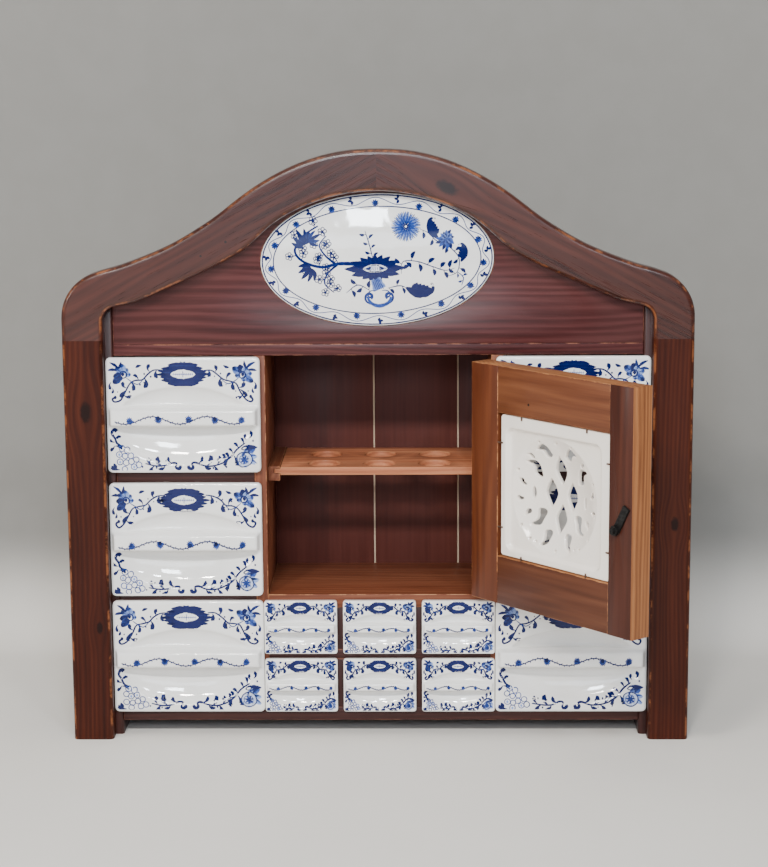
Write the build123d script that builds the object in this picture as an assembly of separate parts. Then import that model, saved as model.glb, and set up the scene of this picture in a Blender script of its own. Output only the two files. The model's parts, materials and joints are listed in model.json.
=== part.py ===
from build123d import *
import math
import os
from dataclasses import dataclass

os.makedirs("parts", exist_ok=True)

# All sizes are in millimetres. X runs to the right, Y from the front to the back, Z up.
# The part stands on z = 0 and x = 0 is its middle. The sizes below take y = 0 as the face of the
# front frame. When a piece is saved, it moves along Y so that the origin is in the middle of the
# whole part with its door standing open.

# ---------------------------------------------------------------- front frame
overall_width = 636.0
overall_height = 608.0
frame_thickness = 18.0
post_width = 41.2
post_height = 418.0
arch_band = 41.5
frame_rounding = 5.0
shoulder_radius = 48.0
shoulder_slope = 20.0
shoulder_share = 0.353
inner_corner_radius = 15.0
inner_corner_slope = 15.0
inner_corner_share = 0.226

# ---------------------------------------------------------------- carcass
carcass_depth = 138.0
panel_show = 8.5
panel_thickness = 20.0
panel_height = 452.0
panel_ear_depth = 44.0
panel_edge_rounding = 3.0
floor_gap = 15.5
board_thickness = 14.0
top_board_thickness = 11.4
top_board_drop = 18.0
divider_thickness = 12.0
compartment_width = 229.6
header_thickness = 18.0
back_board_thickness = 10.0
back_board_pitch = 90.7
back_joint_shift = -7.8
back_joint_gap = 1.8
wide_board_extra = 20.1
tongue_thickness = 3.2
tongue_length = 7.0
tongue_clearance = 0.15

# ---------------------------------------------------------------- drawers
post_gap = 0.6
top_front_gap = 0.8
small_front_width = 75.4
front_thickness = 7.0
front_lap = 3.1
front_stand_off = 0.3
column_gap = 0.5
small_front_gap = 6.0
small_row_gap = 5.5
lower_row_gap = 5.3
upper_row_gap = 11.1
lower_rail_thickness = 12.0
upper_rail_thickness = 18.0
small_rail_thickness = 10.0
small_divider_thickness = 10.0
tray_side_clearance = 1.0
tray_seat_clearance = 0.3
tray_top_clearance = 4.0
tray_back_clearance = 8.0

# ---------------------------------------------------------------- egg shelf
shelf_height_share = 0.5148
shelf_thickness = 8.0
shelf_set_back = 27.3
shelf_back_gap = 1.0
cleat_width = 12.0
cleat_height = 15.0
cleat_cover = 1.0
cleat_set_back = 27.0
shelf_tongue_thickness = 4.4
shelf_tongue_length = 6.2
shelf_clearance = 0.3
egg_hole_diameter = 34.5
egg_column_pitch = 57.5
egg_row_front = 49.5
egg_row_pitch = 50.0
egg_rows = 2
egg_columns = 3

# ---------------------------------------------------------------- door
door_thickness = 23.5
door_open_angle = 130.8
hinge_side_gap = 1.5
free_side_gap = 2.4
door_end_gap = 3.6
hinge_stile_width = 38.5
lock_stile_width = 31.5
top_rail_height = 47.1
bottom_rail_height = 49.6
lip_width = 8.0
lip_thickness = 12.0
free_bevel_depth = 5.0
free_bevel_width = 1.5

# ---------------------------------------------------------------- pierced tile
tile_width = 151.0
tile_side_gap = 1.2
tile_end_gap = 1.1
tile_thickness = 5.0
tile_rim_width = 12.0
tile_rim_height = 4.8
tile_rim_slope = 30.0
tile_corner = 3.0
field_shift_x = 2.5
field_shift_z = -2.9
grille_shift_x = 5.0
grille_shift_z = -3.4
grille_pattern_lift = 1.8
grille_diameter = 118.0
grille_rise = 12.0
grille_thickness = 4.5

# ---------------------------------------------------------------- hinges and latch
hinge_height = 38.0
hinge_end_distance = 34.0
leaf_thickness = 1.2
leaf_depth = 18.0
barrel_radius = 2.8
barrel_stand_off = 2.8
pin_radius = 1.2
pin_clearance = 0.08
knuckle_gap = 0.3
hinge_screw_length = 8.0
hinge_screw_radius = 1.1
hinge_screw_head = 2.1
latch_from_free_edge = 20.0
latch_below_middle = 17.0
latch_rest_angle = 61.0
latch_running_gap = 0.3
spindle_radius = 2.5
spindle_clearance = 0.08
spindle_tip = 9.0
bar_length = 27.0
bar_width = 8.0
bar_thickness = 2.5
nut_width = 9.0
nut_thickness = 3.0
knob_radius = 8.0
knob_neck = 4.0
knob_depth = 10.0
keeper_depth = 7.0
keeper_width = 3.9
keeper_clearance = 1.2

# ---------------------------------------------------------------- plaque
plaque_width = 234.8
plaque_height = 133.8
plaque_centre_below_top = 111.0
plaque_edge_thickness = 6.0
plaque_rise = 9.0
plaque_recess = 4.0
plaque_clearance = 0.3
plaque_wall = 7.0
plaque_tilt = 1.5

# ---------------------------------------------------------------- nails
nail_radius = 0.9
nail_head_radius = 2.2
nail_head_thickness = 0.8
nail_seat_clearance = 0.1
back_nail_length = 20.0
back_nail_inset = 18.0
tile_nail_radius = 0.8
tile_nail_grip = 3.0
tile_nail_depth = 6.0

# The front frame's free curves: share of the half width, share of the rise above the posts.
arch_outer_shares = [
    (0.0, 1.0), (0.094, 0.992), (0.182, 0.962), (0.267, 0.911), (0.358, 0.832), (0.443, 0.735),
    (0.503, 0.657), (0.566, 0.587), (0.645, 0.511), (0.739, 0.442), (0.833, 0.387),
]
arch_inner_shares = [
    (0.0, 1.0), (0.145, 0.970), (0.253, 0.906), (0.350, 0.815), (0.412, 0.724), (0.470, 0.626),
    (0.524, 0.562), (0.632, 0.461), (0.766, 0.350), (0.889, 0.256),
]
header_shares = [
    (0.0, 0.905), (0.149, 0.879), (0.317, 0.816), (0.425, 0.726), (0.511, 0.621),
    (0.596, 0.532), (0.708, 0.442), (0.876, 0.342), (1.0, 0.263),
]

# ---------------------------------------------------------------- derived sizes
half_width = overall_width / 2
post_inner = half_width - post_width
carcass_front = frame_thickness
carcass_inner_width = 2 * (post_inner - panel_show)
top_board_underside = post_height - top_board_drop
carcass_back = carcass_front + carcass_depth
panel_inner = carcass_inner_width / 2
panel_outer = panel_inner + panel_thickness
opening_half = compartment_width / 2
divider_outer = opening_half + divider_thickness
bottom_board_top = floor_gap + board_thickness
header_bottom = top_board_underside + top_board_thickness

row_bottoms = [bottom_board_top - front_lap]
large_front_height = (
    top_board_underside - top_front_gap - row_bottoms[0] - lower_row_gap - upper_row_gap
) / 3
small_front_height = (large_front_height - small_row_gap) / 2
row_bottoms.append(row_bottoms[0] + large_front_height + lower_row_gap)
row_bottoms.append(row_bottoms[1] + large_front_height + upper_row_gap)
lower_rail_top = row_bottoms[1] + front_lap
upper_rail_top = row_bottoms[2] + front_lap
small_bottoms = [row_bottoms[0], row_bottoms[0] + small_front_height + small_row_gap]
small_rail_top = small_bottoms[1] + front_lap
floor_top = small_bottoms[1] + small_front_height + lower_row_gap
floor_underside = floor_top - board_thickness

small_pitch = small_front_width + small_front_gap
small_span = 3 * small_front_width + 2 * small_front_gap
large_front_width = post_inner - post_gap - small_span / 2 - column_gap
large_centre = small_span / 2 + column_gap + large_front_width / 2
small_divider_centre = small_pitch / 2

large_bay_heights = [
    lower_rail_top - lower_rail_thickness - bottom_board_top,
    upper_rail_top - upper_rail_thickness - lower_rail_top,
    top_board_underside - upper_rail_top,
]
small_bay_heights = [
    small_rail_top - small_rail_thickness - bottom_board_top,
    floor_underside - small_rail_top,
]
large_tray_half = min(large_centre - divider_outer, panel_inner - large_centre) - tray_side_clearance
small_tray_half = min(
    small_divider_centre - small_divider_thickness / 2,
    opening_half - small_pitch,
    small_pitch - small_divider_centre - small_divider_thickness / 2,
) - tray_side_clearance
large_tray_height = min(large_bay_heights) - tray_seat_clearance - tray_top_clearance
small_tray_height = min(small_bay_heights) - tray_seat_clearance - tray_top_clearance
tray_depth = carcass_depth + front_stand_off - tray_back_clearance

door_width = compartment_width - hinge_side_gap - free_side_gap
door_bottom = floor_top + door_end_gap
door_top = top_board_underside - door_end_gap
door_height = door_top - door_bottom
door_front = carcass_front
door_back = door_front + door_thickness
door_hinge_x = opening_half - hinge_side_gap
door_free_x = door_hinge_x - door_width
tile_bay_left = door_free_x + lock_stile_width
tile_bay_right = door_hinge_x - hinge_stile_width
tile_bay_bottom = door_bottom + bottom_rail_height
tile_bay_top = door_top - top_rail_height
tile_height = tile_bay_top - tile_bay_bottom - 2 * tile_end_gap
tile_centre_x = tile_bay_left + tile_side_gap + tile_width / 2
tile_centre_z = (tile_bay_top + tile_bay_bottom) / 2
tile_front = door_front + lip_thickness
tile_back = tile_front + tile_thickness
tile_rim_back = tile_back + tile_rim_height
hinge_x = opening_half - hinge_side_gap / 2
hinge_y = door_front - barrel_stand_off
hinge_zs = [
    door_bottom + hinge_end_distance,
    door_top - hinge_end_distance - hinge_height,
]
latch_x = door_free_x + latch_from_free_edge
latch_z = (door_top + door_bottom) / 2 - latch_below_middle
latch_bar_front = door_back + latch_running_gap
latch_bar_back = latch_bar_front + bar_thickness
plaque_centre_z = overall_height - plaque_centre_below_top
shelf_top = floor_top + shelf_height_share * (top_board_underside - floor_top)
shelf_front = carcass_front + shelf_set_back
shelf_back = carcass_back - shelf_back_gap
shelf_half = opening_half - cleat_width - shelf_clearance


@dataclass
class DrawerSize:
    """Sizes of one cast drawer, measured from the middle of its front's lower edge."""

    front_width: float
    front_height: float
    tray_half: float
    tray_height: float
    wall: float
    bottom: float
    corner: float
    rounding: float
    scoop_depth: float
    bar_depth: float


large_size = DrawerSize(
    large_front_width, large_front_height, large_tray_half, large_tray_height,
    wall=4.5, bottom=5.0, corner=4.5, rounding=1.8, scoop_depth=14.0, bar_depth=8.0,
)
small_size = DrawerSize(
    small_front_width, small_front_height, small_tray_half, small_tray_height,
    wall=3.5, bottom=3.5, corner=2.6, rounding=1.0, scoop_depth=8.5, bar_depth=4.5,
)


# ---------------------------------------------------------------- helpers
def block(x0, x1, y0, y1, z0, z1):
    """Return a box between two corners."""
    middle = ((x0 + x1) / 2, (y0 + y1) / 2, (z0 + z1) / 2)
    return Pos(*middle) * Box(abs(x1 - x0), abs(y1 - y0), abs(z1 - z0))


def rod(start, direction, length, radius):
    """Return a round bar from a start point along a direction."""
    plane = Plane(origin=start, z_dir=direction)
    return extrude(plane * Circle(radius), length)


def edges_along(solid, axis, axis_sort, count=4, last=True):
    """Return the edges parallel to one axis that lie furthest along another."""
    found = solid.edges().filter_by(axis).sort_by(axis_sort)
    return found[-count:] if last else found[:count]


def ellipsoid(half_x, half_y, half_z):
    """Return a ball stretched to three half sizes."""
    return scale(Sphere(1.0), by=(half_x, half_y, half_z))


def front_profile(points):
    """Return the closed face in the front plane through the points, in order."""
    flat = [Vector(x, 0, z) for x, z in points]
    return make_face(Polyline(*flat, close=True))


def keep_front(solid, thickness):
    """Push a face in the front plane back to a thickness."""
    return extrude(solid, thickness, dir=(0, 1, 0))


def to_open_door(solid):
    """Turn a solid that is drawn on the closed door to where the door stands open."""
    hinge = Axis((hinge_x, hinge_y, 0), (0, 0, 1))
    return solid.rotate(hinge, door_open_angle)


def to_rest_latch(solid):
    """Turn a latch piece drawn level to its rest angle, on the closed door."""
    spindle = Axis((latch_x, 0, latch_z), (0, 1, 0))
    return solid.rotate(spindle, latch_rest_angle)


def door_reach():
    """Return the Y of the open door's foremost corner, the free edge beside its bevel."""
    run = hinge_x - door_free_x
    depth = door_back - free_bevel_depth - hinge_y
    angle = math.radians(door_open_angle)
    corner = hinge_y - run * math.sin(angle) + depth * math.cos(angle)
    bevel_run = run - free_bevel_width
    bevel_depth = door_back - hinge_y
    other = hinge_y - bevel_run * math.sin(angle) + bevel_depth * math.cos(angle)
    return min(corner, other)


def save(name, solid):
    """Write one sub-part to its own file, in the frame that all pieces share."""
    back = carcass_back + back_board_thickness
    shift = -(door_reach() + back) / 2
    export_step(Pos(0, shift, 0) * solid, f"parts/{name}.step")


# ---------------------------------------------------------------- front frame
def post(side):
    """Return one upright of the front frame."""
    solid = block(post_inner, half_width, 0, frame_thickness, 0, post_height)
    fronts = edges_along(solid, Axis.Z, Axis.Y, 2, last=False)
    solid = fillet(fronts, frame_rounding)
    return solid if side > 0 else mirror(solid, about=Plane.YZ)


def curve_points(shares, reach, rise):
    """Return the points of one of the free curves, from the crown down."""
    return [(share_x * reach, post_height + share_z * rise) for share_x, share_z in shares]


def arch_line(points, post_x, corner_z, radius, slope):
    """Return the line from the crown to a post: a free curve, a round corner, a straight end."""
    lean = math.radians(slope)
    half_way = (lean + math.pi / 2) / 2
    middle_x = post_x - radius
    end_z = corner_z - radius * math.cos(lean)
    start = Vector(middle_x + radius * math.sin(lean), 0, corner_z)
    bend = Vector(
        middle_x + radius * math.sin(half_way), 0, end_z + radius * math.cos(half_way)
    )
    end = Vector(post_x, 0, end_z)
    curve = Spline(
        *[Vector(x, 0, z) for x, z in points], start,
        tangents=[(1, 0, 0), (math.cos(lean), 0, -math.sin(lean))],
    )
    return [curve, ThreePointArc(start, bend, end), Line(end, Vector(post_x, 0, post_height))]


def arch_half(side):
    """Return one half of the arched top of the front frame."""
    outer_rise = overall_height - post_height
    inner_rise = outer_rise - arch_band
    outer = curve_points(arch_outer_shares, half_width, outer_rise)
    inner = curve_points(arch_inner_shares, post_inner, inner_rise)
    outer_line = arch_line(
        outer, half_width, post_height + shoulder_share * outer_rise, shoulder_radius,
        shoulder_slope,
    )
    inner_line = arch_line(
        inner, post_inner, post_height + inner_corner_share * inner_rise, inner_corner_radius,
        inner_corner_slope,
    )
    foot_line = Line(Vector(half_width, 0, post_height), Vector(post_inner, 0, post_height))
    crown_line = Line(Vector(inner[0][0], 0, inner[0][1]), Vector(outer[0][0], 0, outer[0][1]))
    face = make_face([*outer_line, foot_line, *inner_line, crown_line])
    solid = keep_front(face, frame_thickness)
    rims = [
        edge for edge in solid.edges()
        if edge.center().Y < 0.01
        and edge.center().Z > post_height + 1
        and edge.center().X > 1
    ]
    solid = fillet(rims, frame_rounding)
    return solid if side > 0 else mirror(solid, about=Plane.YZ)


def header_board():
    """Return the board behind the arch, with the shallow oval seat of the plaque."""
    half = curve_points(header_shares, panel_inner, overall_height - post_height)
    outline = [(-x, z) for x, z in reversed(half[1:])] + half
    top_line = Spline(*[Vector(x, 0, z) for x, z in outline])
    rest = Polyline(
        Vector(outline[-1][0], 0, outline[-1][1]),
        Vector(panel_inner, 0, header_bottom),
        Vector(-panel_inner, 0, header_bottom),
        Vector(outline[0][0], 0, outline[0][1]),
    )
    solid = keep_front(make_face([top_line, rest]), header_thickness)
    solid = Pos(0, carcass_front, 0) * solid
    return solid - plaque_seat()


def plaque_seat():
    """Return the space that is cut from the header board for the plaque."""
    seat = keep_front(
        Plane.XZ * Ellipse(
            plaque_width / 2 + plaque_clearance, plaque_height / 2 + plaque_clearance
        ),
        plaque_recess,
    )
    return place_plaque(seat, carcass_front)


def place_plaque(solid, front):
    """Tilt and move a solid that is centred on the origin to the plaque's place."""
    tilted = solid.rotate(Axis.Y, -plaque_tilt)
    return Pos(0, front, plaque_centre_z) * tilted


def plaque():
    """Return the domed oval plaque, hollow at the back."""
    half_x = plaque_width / 2
    half_z = plaque_height / 2
    inner_half = half_z - plaque_wall
    inner_top = plaque_edge_thickness - plaque_rise
    dome = ThreePointArc(
        (0, -plaque_rise), (half_z * 0.5, -plaque_rise * 0.76), (half_z, 0),
    )
    sides = Polyline(
        (half_z, 0), (half_z, plaque_edge_thickness), (inner_half, plaque_edge_thickness),
    )
    hollow = ThreePointArc(
        (inner_half, plaque_edge_thickness),
        (inner_half * 0.5, plaque_edge_thickness - plaque_rise * 0.76),
        (0, inner_top),
    )
    middle = Line((0, inner_top), (0, -plaque_rise))
    solid = revolve(make_face([dome, sides, hollow, middle]), Axis.Y)
    solid = scale(solid, by=(half_x / half_z, 1, 1))
    front = carcass_front + plaque_recess - plaque_edge_thickness
    return place_plaque(solid, front)


# ---------------------------------------------------------------- carcass
def side_panel(side):
    """Return one side panel, with the narrow ear that stands behind the arch."""
    outline = [
        (carcass_front, 0),
        (carcass_back, 0),
        (carcass_back, header_bottom),
        (carcass_front + panel_ear_depth, panel_height),
        (carcass_front, panel_height),
    ]
    face = make_face(Polyline(*[Vector(panel_inner, y, z) for y, z in outline], close=True))
    solid = extrude(face, panel_thickness, dir=(1, 0, 0))
    solid = fillet(
        solid.edges().filter_by(Axis.Z).sort_by(Axis.Y)[0:2].sort_by(Axis.X)[0:1],
        panel_edge_rounding,
    )
    return solid if side > 0 else mirror(solid, about=Plane.YZ)


def level_board(x0, x1, top, thickness):
    """Return a level board of the carcass, over its whole depth."""
    return block(x0, x1, carcass_front, carcass_back, top - thickness, top)


def divider(side):
    """Return one of the two uprights beside the compartment."""
    inner = side * opening_half
    outer = side * divider_outer
    solid = block(
        min(inner, outer), max(inner, outer),
        carcass_front, carcass_back, bottom_board_top, top_board_underside,
    )
    if side > 0:
        for low in hinge_zs:
            solid -= block(
                opening_half, opening_half + leaf_thickness,
                carcass_front - 1, carcass_front + leaf_depth, low, low + hinge_height,
            )
        return solid
    return solid - keeper_slot()


def keeper_slot():
    """Return the slot in the left upright that the latch bar swings into from below."""
    reach = bar_length + keeper_clearance
    to_wall = latch_x + opening_half
    drop = math.sqrt(reach ** 2 - to_wall ** 2) + bar_width / 2
    middle = (latch_bar_front + latch_bar_back) / 2
    return block(
        -opening_half - keeper_depth, -opening_half + 1,
        middle - keeper_width / 2, middle + keeper_width / 2,
        latch_z - drop, latch_z + bar_width / 2 + keeper_clearance,
    )


def small_rail():
    """Return the board between the two rows of small drawers, notched from the back."""
    solid = level_board(-opening_half, opening_half, small_rail_top, small_rail_thickness)
    half_depth = (carcass_front + carcass_back) / 2
    for side in (-1, 1):
        middle = side * small_divider_centre
        solid -= block(
            middle - small_divider_thickness / 2, middle + small_divider_thickness / 2,
            half_depth, carcass_back + 1,
            small_rail_top - small_rail_thickness - 1, small_rail_top + 1,
        )
    return solid


def small_divider(side):
    """Return one upright between the small drawers, notched from the front."""
    middle = side * small_divider_centre
    x0 = middle - small_divider_thickness / 2
    x1 = middle + small_divider_thickness / 2
    half_depth = (carcass_front + carcass_back) / 2
    solid = block(x0, x1, carcass_front, carcass_back, bottom_board_top, floor_underside)
    return solid - block(
        x0 - 1, x1 + 1, carcass_front - 1, half_depth,
        small_rail_top - small_rail_thickness, small_rail_top,
    )


def back_joints():
    """Return the places of the joints between the back boards, from left to right."""
    wide = back_board_pitch + wide_board_extra
    joints = [back_joint_shift - 2 * wide, back_joint_shift - wide]
    joints += [back_joint_shift + step * back_board_pitch for step in range(3)]
    return joints


def back_nail_places():
    """Return where the back's nails stand, left to right."""
    lines = [-panel_outer] + back_joints() + [panel_outer]
    heights = [floor_gap + board_thickness / 2, header_bottom - top_board_thickness / 2]
    places = []
    for left, right in zip(lines[:-1], lines[1:]):
        for x in (left + back_nail_inset, right - back_nail_inset - tongue_length):
            if abs(x) > panel_inner - nail_head_radius:
                x = math.copysign(panel_inner - back_nail_inset / 2, x)
            places += [(x, z) for z in heights]
    return places


def back_board(index):
    """Return one tongued and grooved board of the back."""
    lines = [-panel_outer] + back_joints() + [panel_outer]
    left = lines[index]
    right = lines[index + 1]
    first = index == 0
    last = index == len(lines) - 2
    x0 = left if first else left + back_joint_gap / 2
    x1 = right if last else right - back_joint_gap / 2
    y1 = carcass_back + back_board_thickness
    solid = block(x0, x1, carcass_back, y1, floor_gap, header_bottom)
    middle = (carcass_back + y1) / 2
    half_tongue = tongue_thickness / 2
    if not last:
        solid += block(
            x1 - 1, x1 + tongue_length, middle - half_tongue, middle + half_tongue,
            floor_gap, header_bottom,
        )
    if not first:
        half_groove = half_tongue + tongue_clearance
        depth = tongue_length - back_joint_gap + tongue_clearance
        solid -= block(
            x0 - 1, x0 + depth, middle - half_groove, middle + half_groove,
            floor_gap - 1, header_bottom + 1,
        )
    for x, z in back_nail_places():
        if x0 < x < x1:
            solid -= rod(
                (x, y1, z), (0, -1, 0), nail_head_thickness,
                nail_head_radius + nail_seat_clearance,
            )
    return solid


def back_nails():
    """Return the nails that hold the back boards to the top and bottom boards."""
    y1 = carcass_back + back_board_thickness
    nails = []
    for x, z in back_nail_places():
        shank = rod((x, y1, z), (0, -1, 0), back_nail_length, nail_radius)
        head = rod((x, y1, z), (0, -1, 0), nail_head_thickness, nail_head_radius)
        nails.append(shank + head)
    return Compound(children=nails)


# ---------------------------------------------------------------- egg shelf
def cleat(side):
    """Return one grooved cleat that the shelf slides into."""
    top = shelf_top + cleat_cover
    y0 = carcass_front + cleat_set_back
    solid = block(
        opening_half - cleat_width, opening_half, y0, carcass_back, top - cleat_height, top,
    )
    middle = shelf_top - shelf_thickness / 2
    half = shelf_tongue_thickness / 2 + shelf_clearance
    depth = shelf_tongue_length + shelf_clearance
    inner = opening_half - cleat_width
    solid -= block(
        inner - 1, inner + depth, y0 - 1, carcass_back + 1, middle - half, middle + half,
    )
    return solid if side > 0 else mirror(solid, about=Plane.YZ)


def egg_hole_centres():
    """Return the centres of the holes in the shelf, column by column."""
    centres = []
    for column in range(egg_columns):
        x = (column - (egg_columns - 1) / 2) * egg_column_pitch
        for row in range(egg_rows):
            centres.append((x, carcass_front + egg_row_front + row * egg_row_pitch))
    return centres


def egg_shelf():
    """Return the shelf with its round holes and its two tongues."""
    solid = block(
        -shelf_half, shelf_half, shelf_front, shelf_back, shelf_top - shelf_thickness, shelf_top,
    )
    middle = shelf_top - shelf_thickness / 2
    reach = opening_half - cleat_width + shelf_tongue_length - shelf_clearance
    solid += block(
        -reach, reach, shelf_front, shelf_back,
        middle - shelf_tongue_thickness / 2, middle + shelf_tongue_thickness / 2,
    )
    for x, y in egg_hole_centres():
        solid -= Pos(x, y, middle) * Cylinder(egg_hole_diameter / 2, shelf_thickness * 2)
    return solid


# ---------------------------------------------------------------- drawers
def rounded_front(size):
    """Return the front plate of a drawer, with soft corners and edges."""
    sheet = Plane.XZ * RectangleRounded(size.front_width, size.front_height, size.corner)
    solid = extrude(sheet, front_thickness, dir=(0, -1, 0))
    solid = fillet(solid.faces().sort_by(Axis.Y)[0].edges(), size.rounding)
    return Pos(0, 0, size.front_height / 2) * solid


def tray(size):
    """Return the open box behind the front plate."""
    low = front_lap + tray_seat_clearance
    half = size.tray_half
    outer = block(-half, half, 0, tray_depth, low, low + size.tray_height)
    outer = fillet(edges_along(outer, Axis.Z, Axis.Y, 2), size.corner)
    inner = block(
        -half + size.wall, half - size.wall, size.wall, tray_depth - size.wall,
        low + size.bottom, low + size.tray_height + 1,
    )
    inner = fillet(inner.edges().filter_by(Axis.Z), size.corner - 1)
    return outer - inner


def scoop_shape(size, extra):
    """Return the oval bowl that is pressed into the front, larger by an extra."""
    centre_z = 0.409 * size.front_height
    half_x = 0.477 * size.front_width + extra
    half_z = 0.345 * size.front_height + extra
    ahead = 0.2 * size.scoop_depth
    bowl = ellipsoid(half_x, size.scoop_depth + ahead + extra, half_z)
    return Pos(0, -front_thickness - ahead, centre_z) * bowl


def handle_bar(size):
    """Return the grip bar that crosses the bowl, with sloped top and ends."""
    top = 0.578 * size.front_height
    face_top = 0.548 * size.front_height
    face_low = 0.421 * size.front_height
    low = 0.408 * size.front_height
    y0 = -front_thickness + 1
    y1 = -front_thickness - size.bar_depth
    side_view = make_face(Polyline(
        Vector(0, y0, low), Vector(0, y1, face_low), Vector(0, y1, face_top),
        Vector(0, y0, top), close=True,
    ))
    bar = extrude(side_view, size.front_width, both=True)
    half = size.front_width / 2 - size.rounding
    slope = size.bar_depth * 0.45
    plan = make_face(Polyline(
        Vector(-half, y0, 0), Vector(-half + slope, y1, 0), Vector(half - slope, y1, 0),
        Vector(half, y0, 0), close=True,
    ))
    bar &= extrude(plan, size.front_height)
    return fillet(bar.faces().sort_by(Axis.Y)[0].edges(), size.rounding)


def ceramic_drawer(size):
    """Return one cast drawer: tray, front plate, bowl and grip bar in one piece."""
    low = front_lap + tray_seat_clearance
    solid = rounded_front(size) + tray(size)
    room = block(
        -size.tray_half, size.tray_half, 0, tray_depth, low, low + size.tray_height,
    )
    solid += scoop_shape(size, size.wall) & room
    bar_band = block(
        -size.front_width, size.front_width, -tray_depth, tray_depth,
        0.408 * size.front_height, 0.578 * size.front_height,
    )
    solid -= scoop_shape(size, 0) - bar_band
    return solid + handle_bar(size)


def place_drawer(solid, centre_x, bottom):
    """Move a drawer to its column and row."""
    return Pos(centre_x, carcass_front - front_stand_off, bottom) * solid


# ---------------------------------------------------------------- door
def lip(x0, x1, z0, z1):
    """Return a strip of the lip that the tile rests against."""
    return block(x0, x1, door_front, door_front + lip_thickness, z0, z1)


def hinge_stile():
    """Return the door's upright on the hinge side."""
    solid = block(tile_bay_right, door_hinge_x, door_front, door_back, door_bottom, door_top)
    solid += lip(
        tile_bay_right - lip_width, tile_bay_right + 1,
        tile_bay_bottom + lip_width, tile_bay_top - lip_width,
    )
    for low in hinge_zs:
        solid -= block(
            door_hinge_x - leaf_thickness, door_hinge_x + 1,
            door_front - 1, door_front + leaf_depth, low, low + hinge_height,
        )
    return to_open_door(solid)


def lock_stile():
    """Return the door's upright on the free side, with its closing bevel and latch bore."""
    solid = block(door_free_x, tile_bay_left, door_front, door_back, door_bottom, door_top)
    solid += lip(
        tile_bay_left - 1, tile_bay_left + lip_width,
        tile_bay_bottom + lip_width, tile_bay_top - lip_width,
    )
    bevel = make_face(Polyline(
        Vector(door_free_x - 1, door_back + 1, door_bottom - 1),
        Vector(door_free_x - 1, door_back - free_bevel_depth, door_bottom - 1),
        Vector(door_free_x, door_back - free_bevel_depth, door_bottom - 1),
        Vector(door_free_x + free_bevel_width, door_back, door_bottom - 1),
        Vector(door_free_x + free_bevel_width, door_back + 1, door_bottom - 1),
        close=True,
    ))
    solid -= extrude(bevel, door_height + 2, dir=(0, 0, 1))
    solid -= rod(
        (latch_x, door_front - 1, latch_z), (0, 1, 0), door_thickness + 2,
        spindle_radius + spindle_clearance,
    )
    return to_open_door(solid)


def door_rail(upper):
    """Return the door's top or bottom rail, with the lip that the tile rests against."""
    z0 = tile_bay_top if upper else door_bottom
    z1 = door_top if upper else tile_bay_bottom
    solid = block(tile_bay_left, tile_bay_right, door_front, door_back, z0, z1)
    low = tile_bay_top - lip_width if upper else tile_bay_bottom - 1
    high = tile_bay_top + 1 if upper else tile_bay_bottom + lip_width
    solid += lip(tile_bay_left, tile_bay_right, low, high)
    return to_open_door(solid)


def comma(head_x, head_z, radius, tail_x, tail_z, bend):
    """Return the outline of a comma-shaped hole, from its head to its tail's tip."""
    run_x = tail_x - head_x
    run_z = tail_z - head_z
    length = math.hypot(run_x, run_z)
    along = (run_x / length, run_z / length)
    across = (-along[1], along[0])
    upper = []
    lower = []
    for step in (0.12, 0.38, 0.68):
        sag = bend * math.sin(math.pi * step)
        half = radius * (1.0 - step) ** 0.8
        base_x = head_x + run_x * step + across[0] * sag
        base_z = head_z + run_z * step + across[1] * sag
        upper.append((base_x + across[0] * half, base_z + across[1] * half))
        lower.append((base_x - across[0] * half, base_z - across[1] * half))
    tip = (tail_x, tail_z)
    cap = (head_x - along[0] * radius * 0.9, head_z - along[1] * radius * 0.9)
    return [cap] + upper + [tip] + lower[::-1]


def hole_outlines():
    """Return the outlines of the grille's shaped holes, about its centre."""
    unit = grille_diameter / 119.0
    outlines = []
    for side in (-1, 1):
        for head_x, head_z, radius, tail_x, tail_z, bend in (
            (14.5, 40.5, 6.2, 28.0, 42.5, 4.4),
            (30.0, 18.5, 6.2, 43.5, 28.5, 5.2),
            (27.0, -21.5, 6.0, 38.5, -34.0, -5.4),
            (15.0, -41.5, 5.4, 22.0, -53.5, -3.0),
            (50.0, 8.5, 2.9, 44.0, 4.5, 1.2),
            (40.5, -22.0, 2.9, 44.5, -27.5, 1.2),
            (53.0, -9.5, 2.4, 46.5, -9.0, 0.8),
            (34.5, 34.5, 2.4, 40.5, 36.5, 1.2),
        ):
            points = comma(head_x, head_z, radius, tail_x, tail_z, bend)
            outlines.append([(side * x * unit, z * unit) for x, z in points])
    return outlines


def diamond_outlines():
    """Return the outlines of the four plump diamond holes."""
    unit = grille_diameter / 119.0
    outlines = []
    corners = (
        (7.9, 0.0), (6.9, 3.6), (4.6, 8.0), (0.0, 15.2), (-4.6, 8.0), (-6.9, 3.6),
        (-7.9, 0.0), (-6.9, -3.6), (-4.6, -8.0), (0.0, -15.2), (4.6, -8.0), (6.9, -3.6),
    )
    for centre_x, centre_z in ((14.6, 0.0), (-14.6, 0.0), (0.0, 24.6), (0.0, -24.6)):
        outlines.append([(unit * (centre_x + x), unit * (centre_z + z)) for x, z in corners])
    return outlines


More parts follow.
